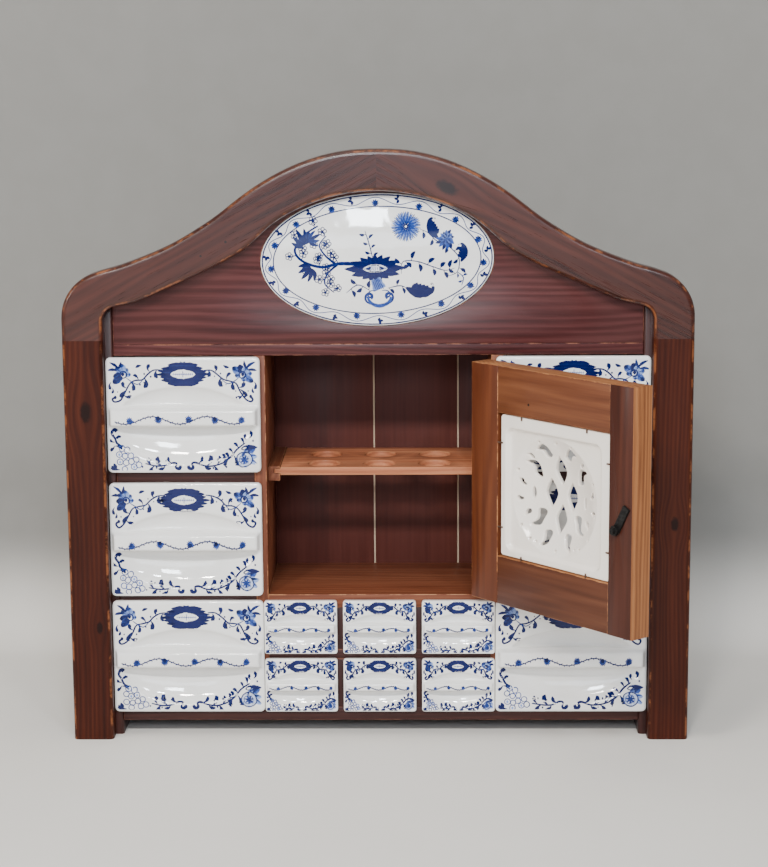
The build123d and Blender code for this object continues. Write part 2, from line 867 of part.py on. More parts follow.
def grille_holes():
    """Return all the hole shapes of the grille as upright prisms about its centre."""
    depth = grille_rise + tile_thickness + 4
    cutters = []
    for points in hole_outlines():
        line = Spline(*[Vector(x, 0, z) for x, z in points], periodic=True)
        cutters.append(extrude(make_face(line), depth, dir=(0, 1, 0)))
    for points in diamond_outlines():
        cutters.append(keep_front(front_profile(points), depth))
    unit = grille_diameter / 119.0
    for side in (-1, 1):
        for x, z, width, height in (
            (36.3, -2.5, 2.3, 6.0), (47.0, -36.5, 1.4, 1.4), (34.5, -48.5, 1.4, 1.4),
            (27.0, -50.5, 1.2, 1.2), (52.5, 19.5, 1.4, 1.4), (22.5, 51.5, 1.4, 1.4),
        ):
            sheet = Plane.XZ * Ellipse(width * unit, height * unit)
            hole = extrude(sheet, depth, dir=(0, 1, 0))
            cutters.append(Pos(side * x * unit, 0, z * unit) * hole)
    for z in (-56.0, 53.0):
        hole = extrude(Plane.XZ * Circle(1.4 * unit), depth, dir=(0, 1, 0))
        cutters.append(Pos(0, 0, z * unit) * hole)
    place = Pos(grille_shift_x, -grille_rise - 2, grille_shift_z + grille_pattern_lift)
    return [place * cutter for cutter in cutters]


def pierced_tile():
    """Return the tile with its rim, its domed grille and the grille's holes."""
    radius = grille_diameter / 2
    ball = (radius ** 2 + grille_rise ** 2) / (2 * grille_rise)
    sheet = RectangleRounded(tile_width, tile_height, tile_corner)
    solid = extrude(Plane.XZ * sheet, tile_thickness + tile_rim_height, dir=(0, 1, 0))
    field_width = tile_width - 2 * tile_rim_width
    field_height = tile_height - 2 * tile_rim_width
    field = extrude(
        Plane.XZ * RectangleRounded(field_width, field_height, tile_corner * 2),
        tile_rim_height + 1, dir=(0, 1, 0), taper=-tile_rim_slope,
    )
    solid -= Pos(field_shift_x, tile_thickness, field_shift_z) * field
    middle = Pos(grille_shift_x, 0, grille_shift_z)
    solid -= middle * rod((0, -1, 0), (0, 1, 0), tile_thickness + 2, radius - 0.5)
    centre_y = ball - grille_rise
    shell = Pos(0, centre_y, 0) * (Sphere(ball) - Sphere(ball - grille_thickness))
    shell &= rod((0, -grille_rise - 1, 0), (0, 1, 0), grille_rise + 1 + tile_thickness, radius)
    solid += middle * shell
    for cutter in grille_holes():
        solid -= cutter
    solid = Pos(tile_centre_x, tile_front, tile_centre_z) * solid
    return to_open_door(solid)


def tile_nails():
    """Return the small nails in the door's inner edges that hold the tile in."""
    y = tile_rim_back + tile_nail_radius + 0.05
    left = tile_centre_x - tile_width / 2
    right = tile_centre_x + tile_width / 2
    low = tile_centre_z - tile_height / 2
    high = tile_centre_z + tile_height / 2
    nails = []
    for share in (-0.3, 0.3):
        z = tile_centre_z + share * tile_height
        reach = tile_nail_depth + tile_bay_right - right + tile_nail_grip
        start = (tile_bay_right + tile_nail_depth, y, z)
        nails.append(rod(start, (-1, 0, 0), reach, tile_nail_radius))
        reach = tile_nail_depth + left - tile_bay_left + tile_nail_grip
        start = (tile_bay_left - tile_nail_depth, y, z)
        nails.append(rod(start, (1, 0, 0), reach, tile_nail_radius))
        x = tile_centre_x + share * tile_width
        reach = tile_nail_depth + tile_bay_top - high + tile_nail_grip
        start = (x, y, tile_bay_top + tile_nail_depth)
        nails.append(rod(start, (0, 0, -1), reach, tile_nail_radius))
        reach = tile_nail_depth + low - tile_bay_bottom + tile_nail_grip
        start = (x, y, tile_bay_bottom - tile_nail_depth)
        nails.append(rod(start, (0, 0, 1), reach, tile_nail_radius))
    return to_open_door(Compound(children=nails))


# ---------------------------------------------------------------- hinges
def knuckle(low, high, bore):
    """Return one knuckle of a hinge barrel between two heights."""
    solid = rod((hinge_x, hinge_y, low), (0, 0, 1), high - low, barrel_radius)
    if bore > 0:
        solid -= rod((hinge_x, hinge_y, low - 1), (0, 0, 1), high - low + 2, bore)
    return solid


def frame_leaf(low):
    """Return the hinge half on the upright: leaf, two knuckles and the pin fixed in them."""
    third = hinge_height / 3
    solid = block(
        opening_half, opening_half + leaf_thickness,
        carcass_front, carcass_front + leaf_depth, low, low + hinge_height,
    )
    for start in (low, low + 2 * third):
        solid += block(
            opening_half, opening_half + leaf_thickness,
            hinge_y, carcass_front + 1, start, start + third,
        )
        solid += knuckle(start, start + third, 0)
    solid += knuckle_pin(low)
    for z in screw_heights(low):
        solid -= rod(
            (opening_half - 1, screw_y(), z), (1, 0, 0), leaf_thickness + 2, hinge_screw_head,
        )
    return solid


def knuckle_pin(low):
    """Return the pin of a hinge, which the upright's half holds."""
    return rod((hinge_x, hinge_y, low), (0, 0, 1), hinge_height, pin_radius)


def door_leaf(low):
    """Return the hinge half on the door: leaf and middle knuckle."""
    third = hinge_height / 3
    solid = block(
        door_hinge_x - leaf_thickness, door_hinge_x,
        door_front, door_front + leaf_depth, low, low + hinge_height,
    )
    start = low + third + knuckle_gap
    end = low + 2 * third - knuckle_gap
    solid += block(
        door_hinge_x - leaf_thickness, door_hinge_x, hinge_y, door_front + 1, start, end,
    )
    solid += knuckle(start, end, 0)
    solid -= rod(
        (hinge_x, hinge_y, low), (0, 0, 1), hinge_height, pin_radius + pin_clearance,
    )
    for z in screw_heights(low):
        solid -= rod(
            (door_hinge_x - leaf_thickness - 1, screw_y(), z), (1, 0, 0),
            leaf_thickness + 2, hinge_screw_head,
        )
    return to_open_door(solid)


def screw_heights(low):
    """Return the heights of the screws in one hinge."""
    return [low + hinge_height * share for share in (0.22, 0.78)]


def screw_y():
    """Return how far back the hinge screws sit."""
    return carcass_front + leaf_depth * 0.6


def hinge_screws(on_door):
    """Return the countersunk screws of both hinges on the door or on the upright."""
    screws = []
    face_x = door_hinge_x if on_door else opening_half
    into = -1 if on_door else 1
    for low in hinge_zs:
        for z in screw_heights(low):
            start = (face_x, screw_y(), z)
            head = rod(start, (into, 0, 0), leaf_thickness, hinge_screw_head)
            shank = rod(start, (into, 0, 0), hinge_screw_length, hinge_screw_radius)
            screws.append(head + shank)
    group = Compound(children=screws)
    return to_open_door(group) if on_door else group


# ---------------------------------------------------------------- latch
def latch_spindle():
    """Return the turning spindle with its round knob on the door's outside."""
    front = door_front - latch_running_gap
    solid = rod(
        (latch_x, front, latch_z), (0, 1, 0),
        door_thickness + latch_running_gap + spindle_tip, spindle_radius,
    )
    solid += rod(
        (latch_x, front, latch_z), (0, -1, 0), knob_neck, spindle_radius * 1.6,
    )
    knob = Pos(latch_x, front - knob_neck - knob_depth / 2, latch_z) * ellipsoid(
        knob_radius, knob_depth / 2 + 1, knob_radius
    )
    return to_open_door(to_rest_latch(solid + knob))


def latch_bar():
    """Return the flat bar that swings behind the upright."""
    solid = block(
        latch_x - bar_length, latch_x, latch_bar_front, latch_bar_back,
        latch_z - bar_width / 2, latch_z + bar_width / 2,
    )
    solid += rod((latch_x, latch_bar_front, latch_z), (0, 1, 0), bar_thickness, bar_width / 2)
    solid -= rod(
        (latch_x, latch_bar_front - 1, latch_z), (0, 1, 0), bar_thickness + 2, spindle_radius,
    )
    return to_open_door(to_rest_latch(solid))


def latch_nut():
    """Return the nut that holds the bar on the spindle."""
    sheet = RegularPolygon(nut_width / 2, 6, major_radius=False)
    solid = extrude(Plane.XZ * sheet, nut_thickness, dir=(0, 1, 0))
    solid = Pos(latch_x, latch_bar_back, latch_z) * solid
    solid -= rod(
        (latch_x, latch_bar_back - 1, latch_z), (0, 1, 0), nut_thickness + 2, spindle_radius,
    )
    return to_open_door(to_rest_latch(solid))


# ---------------------------------------------------------------- all the pieces
def save_frame():
    """Write the front frame, the header board and the plaque."""
    for word, side in (("left", -1), ("right", 1)):
        save(f"{word}_post", post(side))
        save(f"{word}_arch_rail", arch_half(side))
    save("header_board", header_board())
    save("oval_plaque", plaque())


def save_carcass():
    """Write the boards of the carcass."""
    for word, side in (("left", -1), ("right", 1)):
        save(f"{word}_side_panel", side_panel(side))
        save(f"{word}_upright", divider(side))
        save(f"{word}_shelf_cleat", cleat(side))
        save(f"{word}_small_divider", small_divider(side))
        x0 = min(side * divider_outer, side * panel_inner)
        x1 = max(side * divider_outer, side * panel_inner)
        save(f"{word}_lower_drawer_rail", level_board(x0, x1, lower_rail_top, lower_rail_thickness))
        save(f"{word}_upper_drawer_rail", level_board(x0, x1, upper_rail_top, upper_rail_thickness))
    wide = panel_inner
    save("top_board", level_board(-wide, wide, header_bottom, top_board_thickness))
    save("bottom_board", level_board(-wide, wide, bottom_board_top, board_thickness))
    save("compartment_floor", level_board(-opening_half, opening_half, floor_top, board_thickness))
    save("small_drawer_rail", small_rail())
    for index in range(len(back_joints()) + 1):
        save(f"back_board_{index + 1}", back_board(index))
    save("back_nails", back_nails())


def save_drawers():
    """Write the twelve drawers, each at its own place."""
    large = ceramic_drawer(large_size)
    small = ceramic_drawer(small_size)
    for row, level in enumerate(("lower", "middle", "upper")):
        for word, side in (("left", -1), ("right", 1)):
            save(f"{level}_{word}_drawer", place_drawer(large, side * large_centre, row_bottoms[row]))
    for row, level in enumerate(("lower", "upper")):
        for word, column in (("left", -1), ("middle", 0), ("right", 1)):
            placed = place_drawer(small, column * small_pitch, small_bottoms[row])
            save(f"small_{level}_{word}_drawer", placed)


def save_door():
    """Write the door, its tile, hinges and latch, standing open."""
    save("door_hinge_stile", hinge_stile())
    save("door_lock_stile", lock_stile())
    save("door_top_rail", door_rail(True))
    save("door_bottom_rail", door_rail(False))
    save("pierced_tile", pierced_tile())
    save("tile_nails", tile_nails())
    for word, low in zip(("lower", "upper"), hinge_zs):
        save(f"{word}_hinge_fixed_leaf", frame_leaf(low))
        save(f"{word}_hinge_door_leaf", door_leaf(low))
    save("fixed_leaf_screws", hinge_screws(False))
    save("door_leaf_screws", hinge_screws(True))
    save("latch_spindle", latch_spindle())
    save("latch_bar", latch_bar())
    save("latch_nut", latch_nut())


save_frame()
save_carcass()
save("egg_shelf", egg_shelf())
save_drawers()
save_door()
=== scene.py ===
"""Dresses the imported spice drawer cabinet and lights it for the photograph's view."""

import json
import logging
import math
import random
from dataclasses import dataclass, field, replace
from enum import Enum

import bpy
from mathutils import Matrix, Vector
from mathutils.bvhtree import BVHTree


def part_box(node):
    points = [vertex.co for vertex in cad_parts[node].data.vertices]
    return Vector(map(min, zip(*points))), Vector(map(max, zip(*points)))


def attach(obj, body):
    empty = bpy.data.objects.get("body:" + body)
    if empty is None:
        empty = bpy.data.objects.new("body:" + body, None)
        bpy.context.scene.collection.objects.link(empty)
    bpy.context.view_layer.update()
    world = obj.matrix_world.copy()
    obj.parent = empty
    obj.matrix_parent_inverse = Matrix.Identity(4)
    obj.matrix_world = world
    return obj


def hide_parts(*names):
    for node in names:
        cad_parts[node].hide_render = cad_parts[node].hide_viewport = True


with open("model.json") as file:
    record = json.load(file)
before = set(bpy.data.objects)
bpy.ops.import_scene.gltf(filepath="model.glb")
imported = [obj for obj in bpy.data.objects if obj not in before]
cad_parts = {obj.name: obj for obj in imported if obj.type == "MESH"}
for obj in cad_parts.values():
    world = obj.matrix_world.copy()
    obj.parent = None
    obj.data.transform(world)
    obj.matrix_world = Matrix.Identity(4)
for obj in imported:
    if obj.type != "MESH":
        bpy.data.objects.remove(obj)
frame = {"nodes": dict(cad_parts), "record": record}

LOG = logging.getLogger("cabinet")
MM = 0.001
IMAGE_WIDTH = 768
DOOR_OPEN_DEGREES = 130.8
DRAWER_BRUSH_LIMITS = (75.6, 2.6, 116.2)
RIPPLE_SCALE = 34.0
RIPPLE_HEIGHT = 0.0011
NAIL_HOLE_COLOUR = (0.004, 0.003, 0.003)
RAW_INDEX = 2
Point = tuple[float, float]
Place = tuple[float, float, float]
Colour = tuple[float, float, float]
Socket = bpy.types.NodeSocket
Material = bpy.types.Material
Piece = bpy.types.Object


class Slot(Enum):
    """The record's material slots."""

    FRAME_WOOD = "dark_wood"
    INNER_WOOD = "inside_wood"
    PORCELAIN = "porcelain"


class Grain(Enum):
    """The way the fibres of a board run, as a direction in the row frame."""

    ACROSS = (1.0, 0.0, 0.0)
    DEPTH = (0.0, 1.0, 0.0)
    UPRIGHT = (0.0, 0.0, 1.0)
    LEFT_ARCH = (0.88, 0.0, 0.47)
    RIGHT_ARCH = (0.88, 0.0, -0.47)
    DOOR_RAIL = (
        -math.cos(math.radians(DOOR_OPEN_DEGREES)),
        -math.sin(math.radians(DOOR_OPEN_DEGREES)),
        0.0,
    )

    def turn(self) -> Place:
        """Returns the Euler angles that stand the fibres upright."""
        return tuple(Vector(self.value).rotation_difference(Vector((0, 0, 1))).to_euler("XYZ"))


# ---------------------------------------------------------------- material nodes
class NodeSheet:
    """A material's node tree with short ways to add and join nodes."""

    def __init__(self, name: str) -> None:
        """Starts an empty tree with a surface shader.

        Args:
            name: The material's name.
        """
        self.material = bpy.data.materials.new(name)
        self.material.use_nodes = True
        self.tree = self.material.node_tree
        self.tree.nodes.clear()
        self.output = self.tree.nodes.new("ShaderNodeOutputMaterial")
        self.shader = self.tree.nodes.new("ShaderNodeBsdfPrincipled")
        self.join(self.shader.outputs["BSDF"], self.output.inputs["Surface"])

    def join(self, source: Socket, target: Socket) -> None:
        """Links an output socket to an input socket."""
        self.tree.links.new(source, target)

    def add(self, kind: str, **settings) -> bpy.types.Node:
        """Adds a node.

        Args:
            kind: The node's type name.
            **settings: Properties that are set on the node.

        Returns:
            The new node.
        """
        node = self.tree.nodes.new(kind)
        for key, value in settings.items():
            setattr(node, key, value)
        return node

    def place(self) -> Socket:
        """Returns the socket with a point's place on the object."""
        return self.add("ShaderNodeTexCoord").outputs["Object"]

    def mapped(
        self, vector: Socket, scale: Place = (1, 1, 1), turn: Place = (0, 0, 0),
        shift: Place = (0, 0, 0),
    ) -> Socket:
        """Scales, turns and shifts a vector.

        Args:
            vector: The socket that is mapped.
            scale: Factors along the three axes.
            turn: Euler angles.
            shift: What is added at the end.

        Returns:
            The socket of the result.
        """
        node = self.add("ShaderNodeMapping")
        node.inputs["Scale"].default_value = scale
        node.inputs["Rotation"].default_value = turn
        node.inputs["Location"].default_value = shift
        self.join(vector, node.inputs["Vector"])
        return node.outputs["Vector"]

    def noise(
        self, vector: Socket, scale: float, detail: float = 2.0, rough: float = 0.5,
    ) -> Socket:
        """Returns the value of a noise texture at a place."""
        node = self.add("ShaderNodeTexNoise")
        node.inputs["Scale"].default_value = scale
        node.inputs["Detail"].default_value = detail
        node.inputs["Roughness"].default_value = rough
        self.join(vector, node.inputs["Vector"])
        return node.outputs["Fac"]

    def calc(self, operation: str, first, second=0.0, third=0.0) -> Socket:
        """Adds a Math node, whose inputs are sockets or numbers.

        Args:
            operation: The node's operation.
            first: The first input.
            second: The second input.
            third: The third input.

        Returns:
            The socket of the result.
        """
        node = self.add("ShaderNodeMath", operation=operation)
        for place, value in enumerate((first, second, third)):
            if isinstance(value, (int, float)):
                node.inputs[place].default_value = value
            else:
                self.join(value, node.inputs[place])
        return node.outputs[0]

    def vector_calc(self, operation: str, first, second) -> bpy.types.Node:
        """Adds a Vector Math node, whose inputs are sockets or triples."""
        node = self.add("ShaderNodeVectorMath", operation=operation)
        for place, value in enumerate((first, second)):
            if isinstance(value, (tuple, list)):
                node.inputs[place].default_value = value
            else:
                self.join(value, node.inputs[place])
        return node

    def spread(
        self, value: Socket, low: float, high: float, to_low: float = 0.0, to_high: float = 1.0,
    ) -> Socket:
        """Maps a range of values smoothly to another, and clamps it."""
        node = self.add("ShaderNodeMapRange", interpolation_type="SMOOTHSTEP")
        node.inputs["From Min"].default_value = low
        node.inputs["From Max"].default_value = high
        node.inputs["To Min"].default_value = to_low
        node.inputs["To Max"].default_value = to_high
        self.join(value, node.inputs["Value"])
        return node.outputs["Result"]

    def ramp(self, value: Socket, stops: list[tuple[float, Colour]]) -> Socket:
        """Returns the colour of a ramp.

        Args:
            value: The socket that picks the place on the ramp.
            stops: Places and colours, in order.

        Returns:
            The colour socket.
        """
        node = self.add("ShaderNodeValToRGB")
        elements = node.color_ramp.elements
        while len(elements) < len(stops):
            elements.new(1.0)
        for element, (place, colour) in zip(elements, stops):
            element.position = place
            element.color = (*colour, 1.0)
        self.join(value, node.inputs["Fac"])
        return node.outputs["Color"]

    def mix(self, share, first, second) -> Socket:
        """Mixes two colours, each a socket or a triple."""
        node = self.add("ShaderNodeMix", data_type="RGBA")
        for name, value in (("Factor", share), ("A", first), ("B", second)):
            socket = next(
                s for s in node.inputs
                if s.name == name and s.enabled and s.type in ("RGBA", "VALUE")
            )
            if isinstance(value, (int, float)):
                socket.default_value = value
            elif isinstance(value, tuple):
                socket.default_value = (*value, 1.0)
            else:
                self.join(value, socket)
        return next(s for s in node.outputs if s.enabled)

    def bump(
        self, height: Socket, strength: float, distance: float, below: Socket | None = None,
    ) -> Socket:
        """Raises the surface by a height socket, in metres times distance.

        Args:
            height: The height socket.
            strength: The bump's strength.
            distance: How far the full height rises.
            below: The normal of a bump that this one lies on.

        Returns:
            The normal socket.
        """
        node = self.add("ShaderNodeBump")
        node.inputs["Strength"].default_value = strength
        node.inputs["Distance"].default_value = distance
        self.join(height, node.inputs["Height"])
        if below is not None:
            self.join(below, node.inputs["Normal"])
        return node.outputs["Normal"]

    def ripple(self, place: Socket) -> Socket:
        """Returns the normal of the slight waves in a fired glaze."""
        return self.bump(self.noise(place, RIPPLE_SCALE, 1.5), 0.45, RIPPLE_HEIGHT)

    def set(self, **values) -> None:
        """Sets shader inputs, whose names are written with underscores."""
        for name, value in values.items():
            self.shader.inputs[name.replace("_", " ")].default_value = value

    def finish(
        self, colour: Socket, roughness: Socket, normal: Socket | None = None,
    ) -> Material:
        """Joins the last sockets to the shader and returns the material."""
        self.join(colour, self.shader.inputs["Base Color"])
        self.join(roughness, self.shader.inputs["Roughness"])
        if normal is not None:
            self.join(normal, self.shader.inputs["Normal"])
        return self.material


@dataclass(frozen=True)
class Knot:
    """A knot or a nail hole in a board: its place in the row frame and its radius, in mm."""

    x: float
    y: float
    z: float
    radius: float


@dataclass(frozen=True)
class WoodFinish:
    """Stained softwood: colours, gloss and the ways the stain is uneven."""

    name: str
    dark: Colour
    middle: Colour
    light: Colour
    ring_gap: float
    gloss_low: float
    gloss_high: float
    varnish: float
    fibre_height: float
    edge_wear: Colour
    wear_share: float = 0.0
    ring_weight: float = 0.16
    shine: float = 0.3

    FIBRE_SCALE = 900.0
    STREAK_SCALE = 170.0
    BLOTCH_SCALE = 14.0
    STREAK_WEIGHT = 0.40
    FIBRE_WEIGHT = 0.18
    BROAD_WEIGHT = 0.78
    RING_DISTORTION = 3.2
    COAT_ROUGHNESS = 0.26

    def stained(
        self, name: str, red: float, green: float, blue: float, **changes: float,
    ) -> "WoodFinish":
        """Returns the same wood with its colours scaled.

        Args:
            name: The new finish's name.
            red: The factor of the colours' red.
            green: The factor of their green.
            blue: The factor of their blue.
            **changes: Other fields that change.

        Returns:
            The new finish.
        """
        factors = (red, green, blue)
        colours = {
            key: tuple(part * factor for part, factor in zip(getattr(self, key), factors))
            for key in ("dark", "middle", "light")
        }
        return replace(self, name=name, **colours, **changes)

    def make(
        self, grain: Grain, seed: float = 0.0, knots: tuple[Knot, ...] = (),
        worn: bool = False, marks: tuple[Knot, ...] = (),
    ) -> Material:
        """Builds the material for boards of one grain direction.

        Args:
            grain: The way the fibres run.
            seed: Shifts the pattern, so that boards differ.
            knots: Knots that show in these boards.
            worn: True for rubbed edges, which are lighter.
            marks: Small dark holes of old nails.

        Returns:
            The material.
        """
        sheet = NodeSheet(f"{self.name}_{grain.name.lower()}_{seed:g}{'_worn' if worn else ''}")
        place = sheet.place()
        bent = place
        knot_shade = None
        for knot in knots:
            bent, shade = self.knot_nodes(sheet, bent, place, knot, grain)
            knot_shade = shade if knot_shade is None else sheet.calc("MAXIMUM", knot_shade, shade)
        along = sheet.mapped(bent, turn=grain.turn(), shift=(seed * 0.37, 0.11 + seed * 0.53, seed))
        slow = sheet.mapped(along, scale=(1.0, 1.0, 0.16))
        wander = sheet.add("ShaderNodeTexNoise")
        wander.inputs["Scale"].default_value = 7.0
        wander.inputs["Detail"].default_value = 3.0
        sheet.join(slow, wander.inputs["Vector"])
        pushed = sheet.vector_calc("SCALE", wander.outputs["Color"], (0, 0, 0))
        pushed.inputs["Scale"].default_value = 0.055
        moved = sheet.vector_calc("ADD", along, pushed.outputs[0]).outputs[0]
        tilted = sheet.mapped(moved, scale=(1.0, 0.55, 0.05), turn=(0.03, 0.05, 0))
        rings = sheet.add("ShaderNodeTexWave", wave_type="RINGS", rings_direction="Z")
        rings.inputs["Scale"].default_value = 2 * math.pi / (20 * self.ring_gap)
        rings.inputs["Distortion"].default_value = self.RING_DISTORTION
        rings.inputs["Detail"].default_value = 3.0
        rings.inputs["Detail Scale"].default_value = 1.1
        sheet.join(tilted, rings.inputs["Vector"])
        fine = sheet.mapped(along, scale=(1.0, 1.0, 0.035))
        fibres = sheet.noise(fine, self.FIBRE_SCALE, 3.0, 0.65)
        streaks = sheet.noise(fine, self.STREAK_SCALE, 3.0, 0.6)
        blotches = sheet.noise(slow, self.BLOTCH_SCALE, 3.0, 0.6)
        tone = sheet.calc("MULTIPLY_ADD", rings.outputs["Fac"], self.ring_weight, 0.0)
        tone = sheet.calc("MULTIPLY_ADD", streaks, self.STREAK_WEIGHT, tone)
        tone = sheet.calc("MULTIPLY_ADD", blotches, self.BROAD_WEIGHT - self.ring_weight, tone)
        tone = sheet.calc("MULTIPLY_ADD", fibres, self.FIBRE_WEIGHT, tone)
        colour = sheet.ramp(
            tone, [(0.40, self.dark), (0.64, self.middle), (0.92, self.light)]
        )
        if worn:
            patches = sheet.spread(sheet.noise(place, 55.0, 4.0, 0.7), 0.42, 0.62)
            colour = sheet.mix(patches, colour, self.edge_wear)
        if self.wear_share > 0:
            colour = self.rubbed(sheet, place, colour)
        if knot_shade is not None:
            colour = sheet.mix(knot_shade, colour, tuple(0.35 * c for c in self.dark))
        for mark in marks:
            near = sheet.vector_calc("DISTANCE", place, (mark.x * MM, mark.y * MM, mark.z * MM))
            hole = sheet.spread(near.outputs["Value"], mark.radius * MM, mark.radius * 0.7 * MM)
            colour = sheet.mix(hole, colour, NAIL_HOLE_COLOUR)
        gloss = sheet.spread(sheet.calc("MULTIPLY_ADD", blotches, 0.5, sheet.calc(
            "MULTIPLY", fibres, 0.5)), 0.35, 0.65, self.gloss_low, self.gloss_high)
        height = sheet.calc("MULTIPLY_ADD", streaks, 0.6, sheet.calc("MULTIPLY", fibres, 0.4))
        normal = sheet.bump(height, 0.55, self.fibre_height)
        brushed = sheet.noise(sheet.mapped(along, scale=(1.0, 1.0, 0.3)), 60.0, 2.0, 0.5)
        normal = sheet.bump(brushed, 0.5, self.fibre_height * 3.0, normal)
        sheet.set(
            Coat_Weight=self.varnish, Coat_Roughness=self.COAT_ROUGHNESS,
            Specular_IOR_Level=self.shine,
        )
        return sheet.finish(colour, gloss, normal)

    def knot_nodes(
        self, sheet: NodeSheet, bent: Socket, place: Socket, knot: Knot, grain: Grain,
    ) -> tuple[Socket, Socket]:
        """Bends the rings round a knot and shades its middle.

        Args:
            sheet: The material's nodes.
            bent: The place socket that earlier knots have bent.
            place: The straight place socket.
            knot: The knot.
            grain: The way the fibres run.

        Returns:
            The newly bent place and the knot's shade.
        """
        middle = (knot.x * MM, knot.y * MM, knot.z * MM)
        away = sheet.vector_calc("SUBTRACT", place, middle).outputs[0]
        flat = sheet.mapped(away, turn=grain.turn())
        oval = sheet.mapped(flat, scale=(1.0, 0.45, 0.5))
        length = sheet.vector_calc("LENGTH", oval, (0, 0, 0)).outputs["Value"]
        reach = knot.radius * MM
        pull = sheet.spread(length, 0.0, reach * 4.2, 1.0, 0.0)
        push = sheet.vector_calc("SCALE", away, (0, 0, 0))
        sheet.join(sheet.calc("MULTIPLY", pull, -0.85), push.inputs["Scale"])
        bent = sheet.vector_calc("ADD", bent, push.outputs[0]).outputs[0]
        wobble = sheet.calc("MULTIPLY_ADD", sheet.noise(place, 260.0, 2.0), reach * 0.5, length)
        return bent, sheet.spread(wobble, reach * 1.25, reach * 0.75, 0.0, 0.86)

    def rubbed(self, sheet: NodeSheet, place: Socket, colour: Socket) -> Socket:
        """Lightens patches of the rounded front edges, where hands and dusters rub."""
        normal = sheet.add("ShaderNodeNewGeometry").outputs["Normal"]
        split = sheet.add("ShaderNodeSeparateXYZ")
        sheet.join(normal, split.inputs["Vector"])
        square = sheet.calc("MULTIPLY", split.outputs["Y"], split.outputs["Y"])
        slant = sheet.calc("MULTIPLY", square, sheet.calc("SUBTRACT", 1.0, square))
        slant = sheet.spread(slant, 0.10, 0.24)
        patches = sheet.spread(sheet.noise(place, 38.0, 5.0, 0.72), 0.46, 0.60)
        share = sheet.calc("MULTIPLY", sheet.calc("MULTIPLY", slant, patches), self.wear_share)
        return sheet.mix(share, colour, self.edge_wear)


@dataclass(frozen=True)
class GlazeFinish:
    """White tin-like glaze, slightly uneven in shade and surface."""

    name: str
    white: Colour
    shade: Colour
    roughness: float

    def make(self) -> Material:
        """Returns the glaze material."""
        sheet = NodeSheet(self.name)
        place = sheet.place()
        cloud = sheet.noise(place, 22.0, 3.0, 0.55)
        speck = sheet.spread(sheet.noise(place, 420.0, 1.0), 0.70, 0.76, 0.0, 0.12)
        colour = sheet.ramp(cloud, [(0.32, self.shade), (0.62, self.white)])
        colour = sheet.mix(speck, colour, (0.62, 0.58, 0.50))
        rough = sheet.spread(cloud, 0.3, 0.7, self.roughness, self.roughness * 1.7)
        wave = sheet.ripple(place)
        sheet.set(IOR=1.52, Specular_IOR_Level=0.85)
        return sheet.finish(colour, rough, wave)


@dataclass(frozen=True)
class BrushPaint:
    """Cobalt blue under the glaze. The attribute `tone` runs from white to the darkest blue."""

    name: str
    bare: Colour
    wash: Colour
    blue: Colour
    deep: Colour

    def make(self) -> Material:
        """Returns the paint material."""
        sheet = NodeSheet(self.name)
        place = sheet.place()
        tone = sheet.add("ShaderNodeAttribute", attribute_name="tone").outputs["Fac"]
        pooled = sheet.noise(place, 420.0, 3.0, 0.6)
        tone = sheet.calc("ADD", tone, sheet.calc("MULTIPLY_ADD", pooled, 0.30, -0.15))
        colour = sheet.ramp(
            tone, [(0.0, self.bare), (0.16, self.wash), (0.40, self.blue), (0.72, self.deep)]
        )
        rough = sheet.spread(pooled, 0.3, 0.7, 0.05, 0.10)
        wave = sheet.ripple(place)
        sheet.set(IOR=1.52, Specular_IOR_Level=0.34)
        return sheet.finish(colour, rough, wave)


@dataclass(frozen=True)
class MetalFinish:
    """Worn metal, or iron under old black paint."""

    name: str
    clean: Colour
    tarnished: Colour
    metallic: float
    roughness: float

    def make(self) -> Material:
        """Returns the metal material."""
        sheet = NodeSheet(self.name)
        place = sheet.place()
        wear = sheet.noise(place, 260.0, 4.0, 0.65)
        colour = sheet.ramp(wear, [(0.36, self.tarnished), (0.66, self.clean)])
        rough = sheet.spread(wear, 0.3, 0.7, self.roughness * 1.3, self.roughness * 0.8)
        normal = sheet.bump(sheet.noise(place, 900.0, 3.0), 0.5, 0.0002)
        sheet.set(Metallic=self.metallic)
        return sheet.finish(colour, rough, normal)


@dataclass(frozen=True)
class BackdropFinish:
    """Pale painted cloth under the object, that turns greyer as it rises behind it."""

    name: str
    base: Colour
    other: Colour
    wall: Colour

    def make(self) -> Material:
        """Returns the backdrop material."""
        sheet = NodeSheet(self.name)
        place = sheet.place()
        colour = sheet.ramp(sheet.noise(place, 2.2, 4.0, 0.6), [(0.3, self.base), (0.7, self.other)])
        split = sheet.add("ShaderNodeSeparateXYZ")
        sheet.join(place, split.inputs["Vector"])
        colour = sheet.mix(sheet.spread(split.outputs["Z"], 0.0, 0.12), colour, self.wall)
        rough = sheet.spread(sheet.noise(place, 30.0, 3.0), 0.3, 0.7, 0.75, 0.9)
        return sheet.finish(colour, rough)


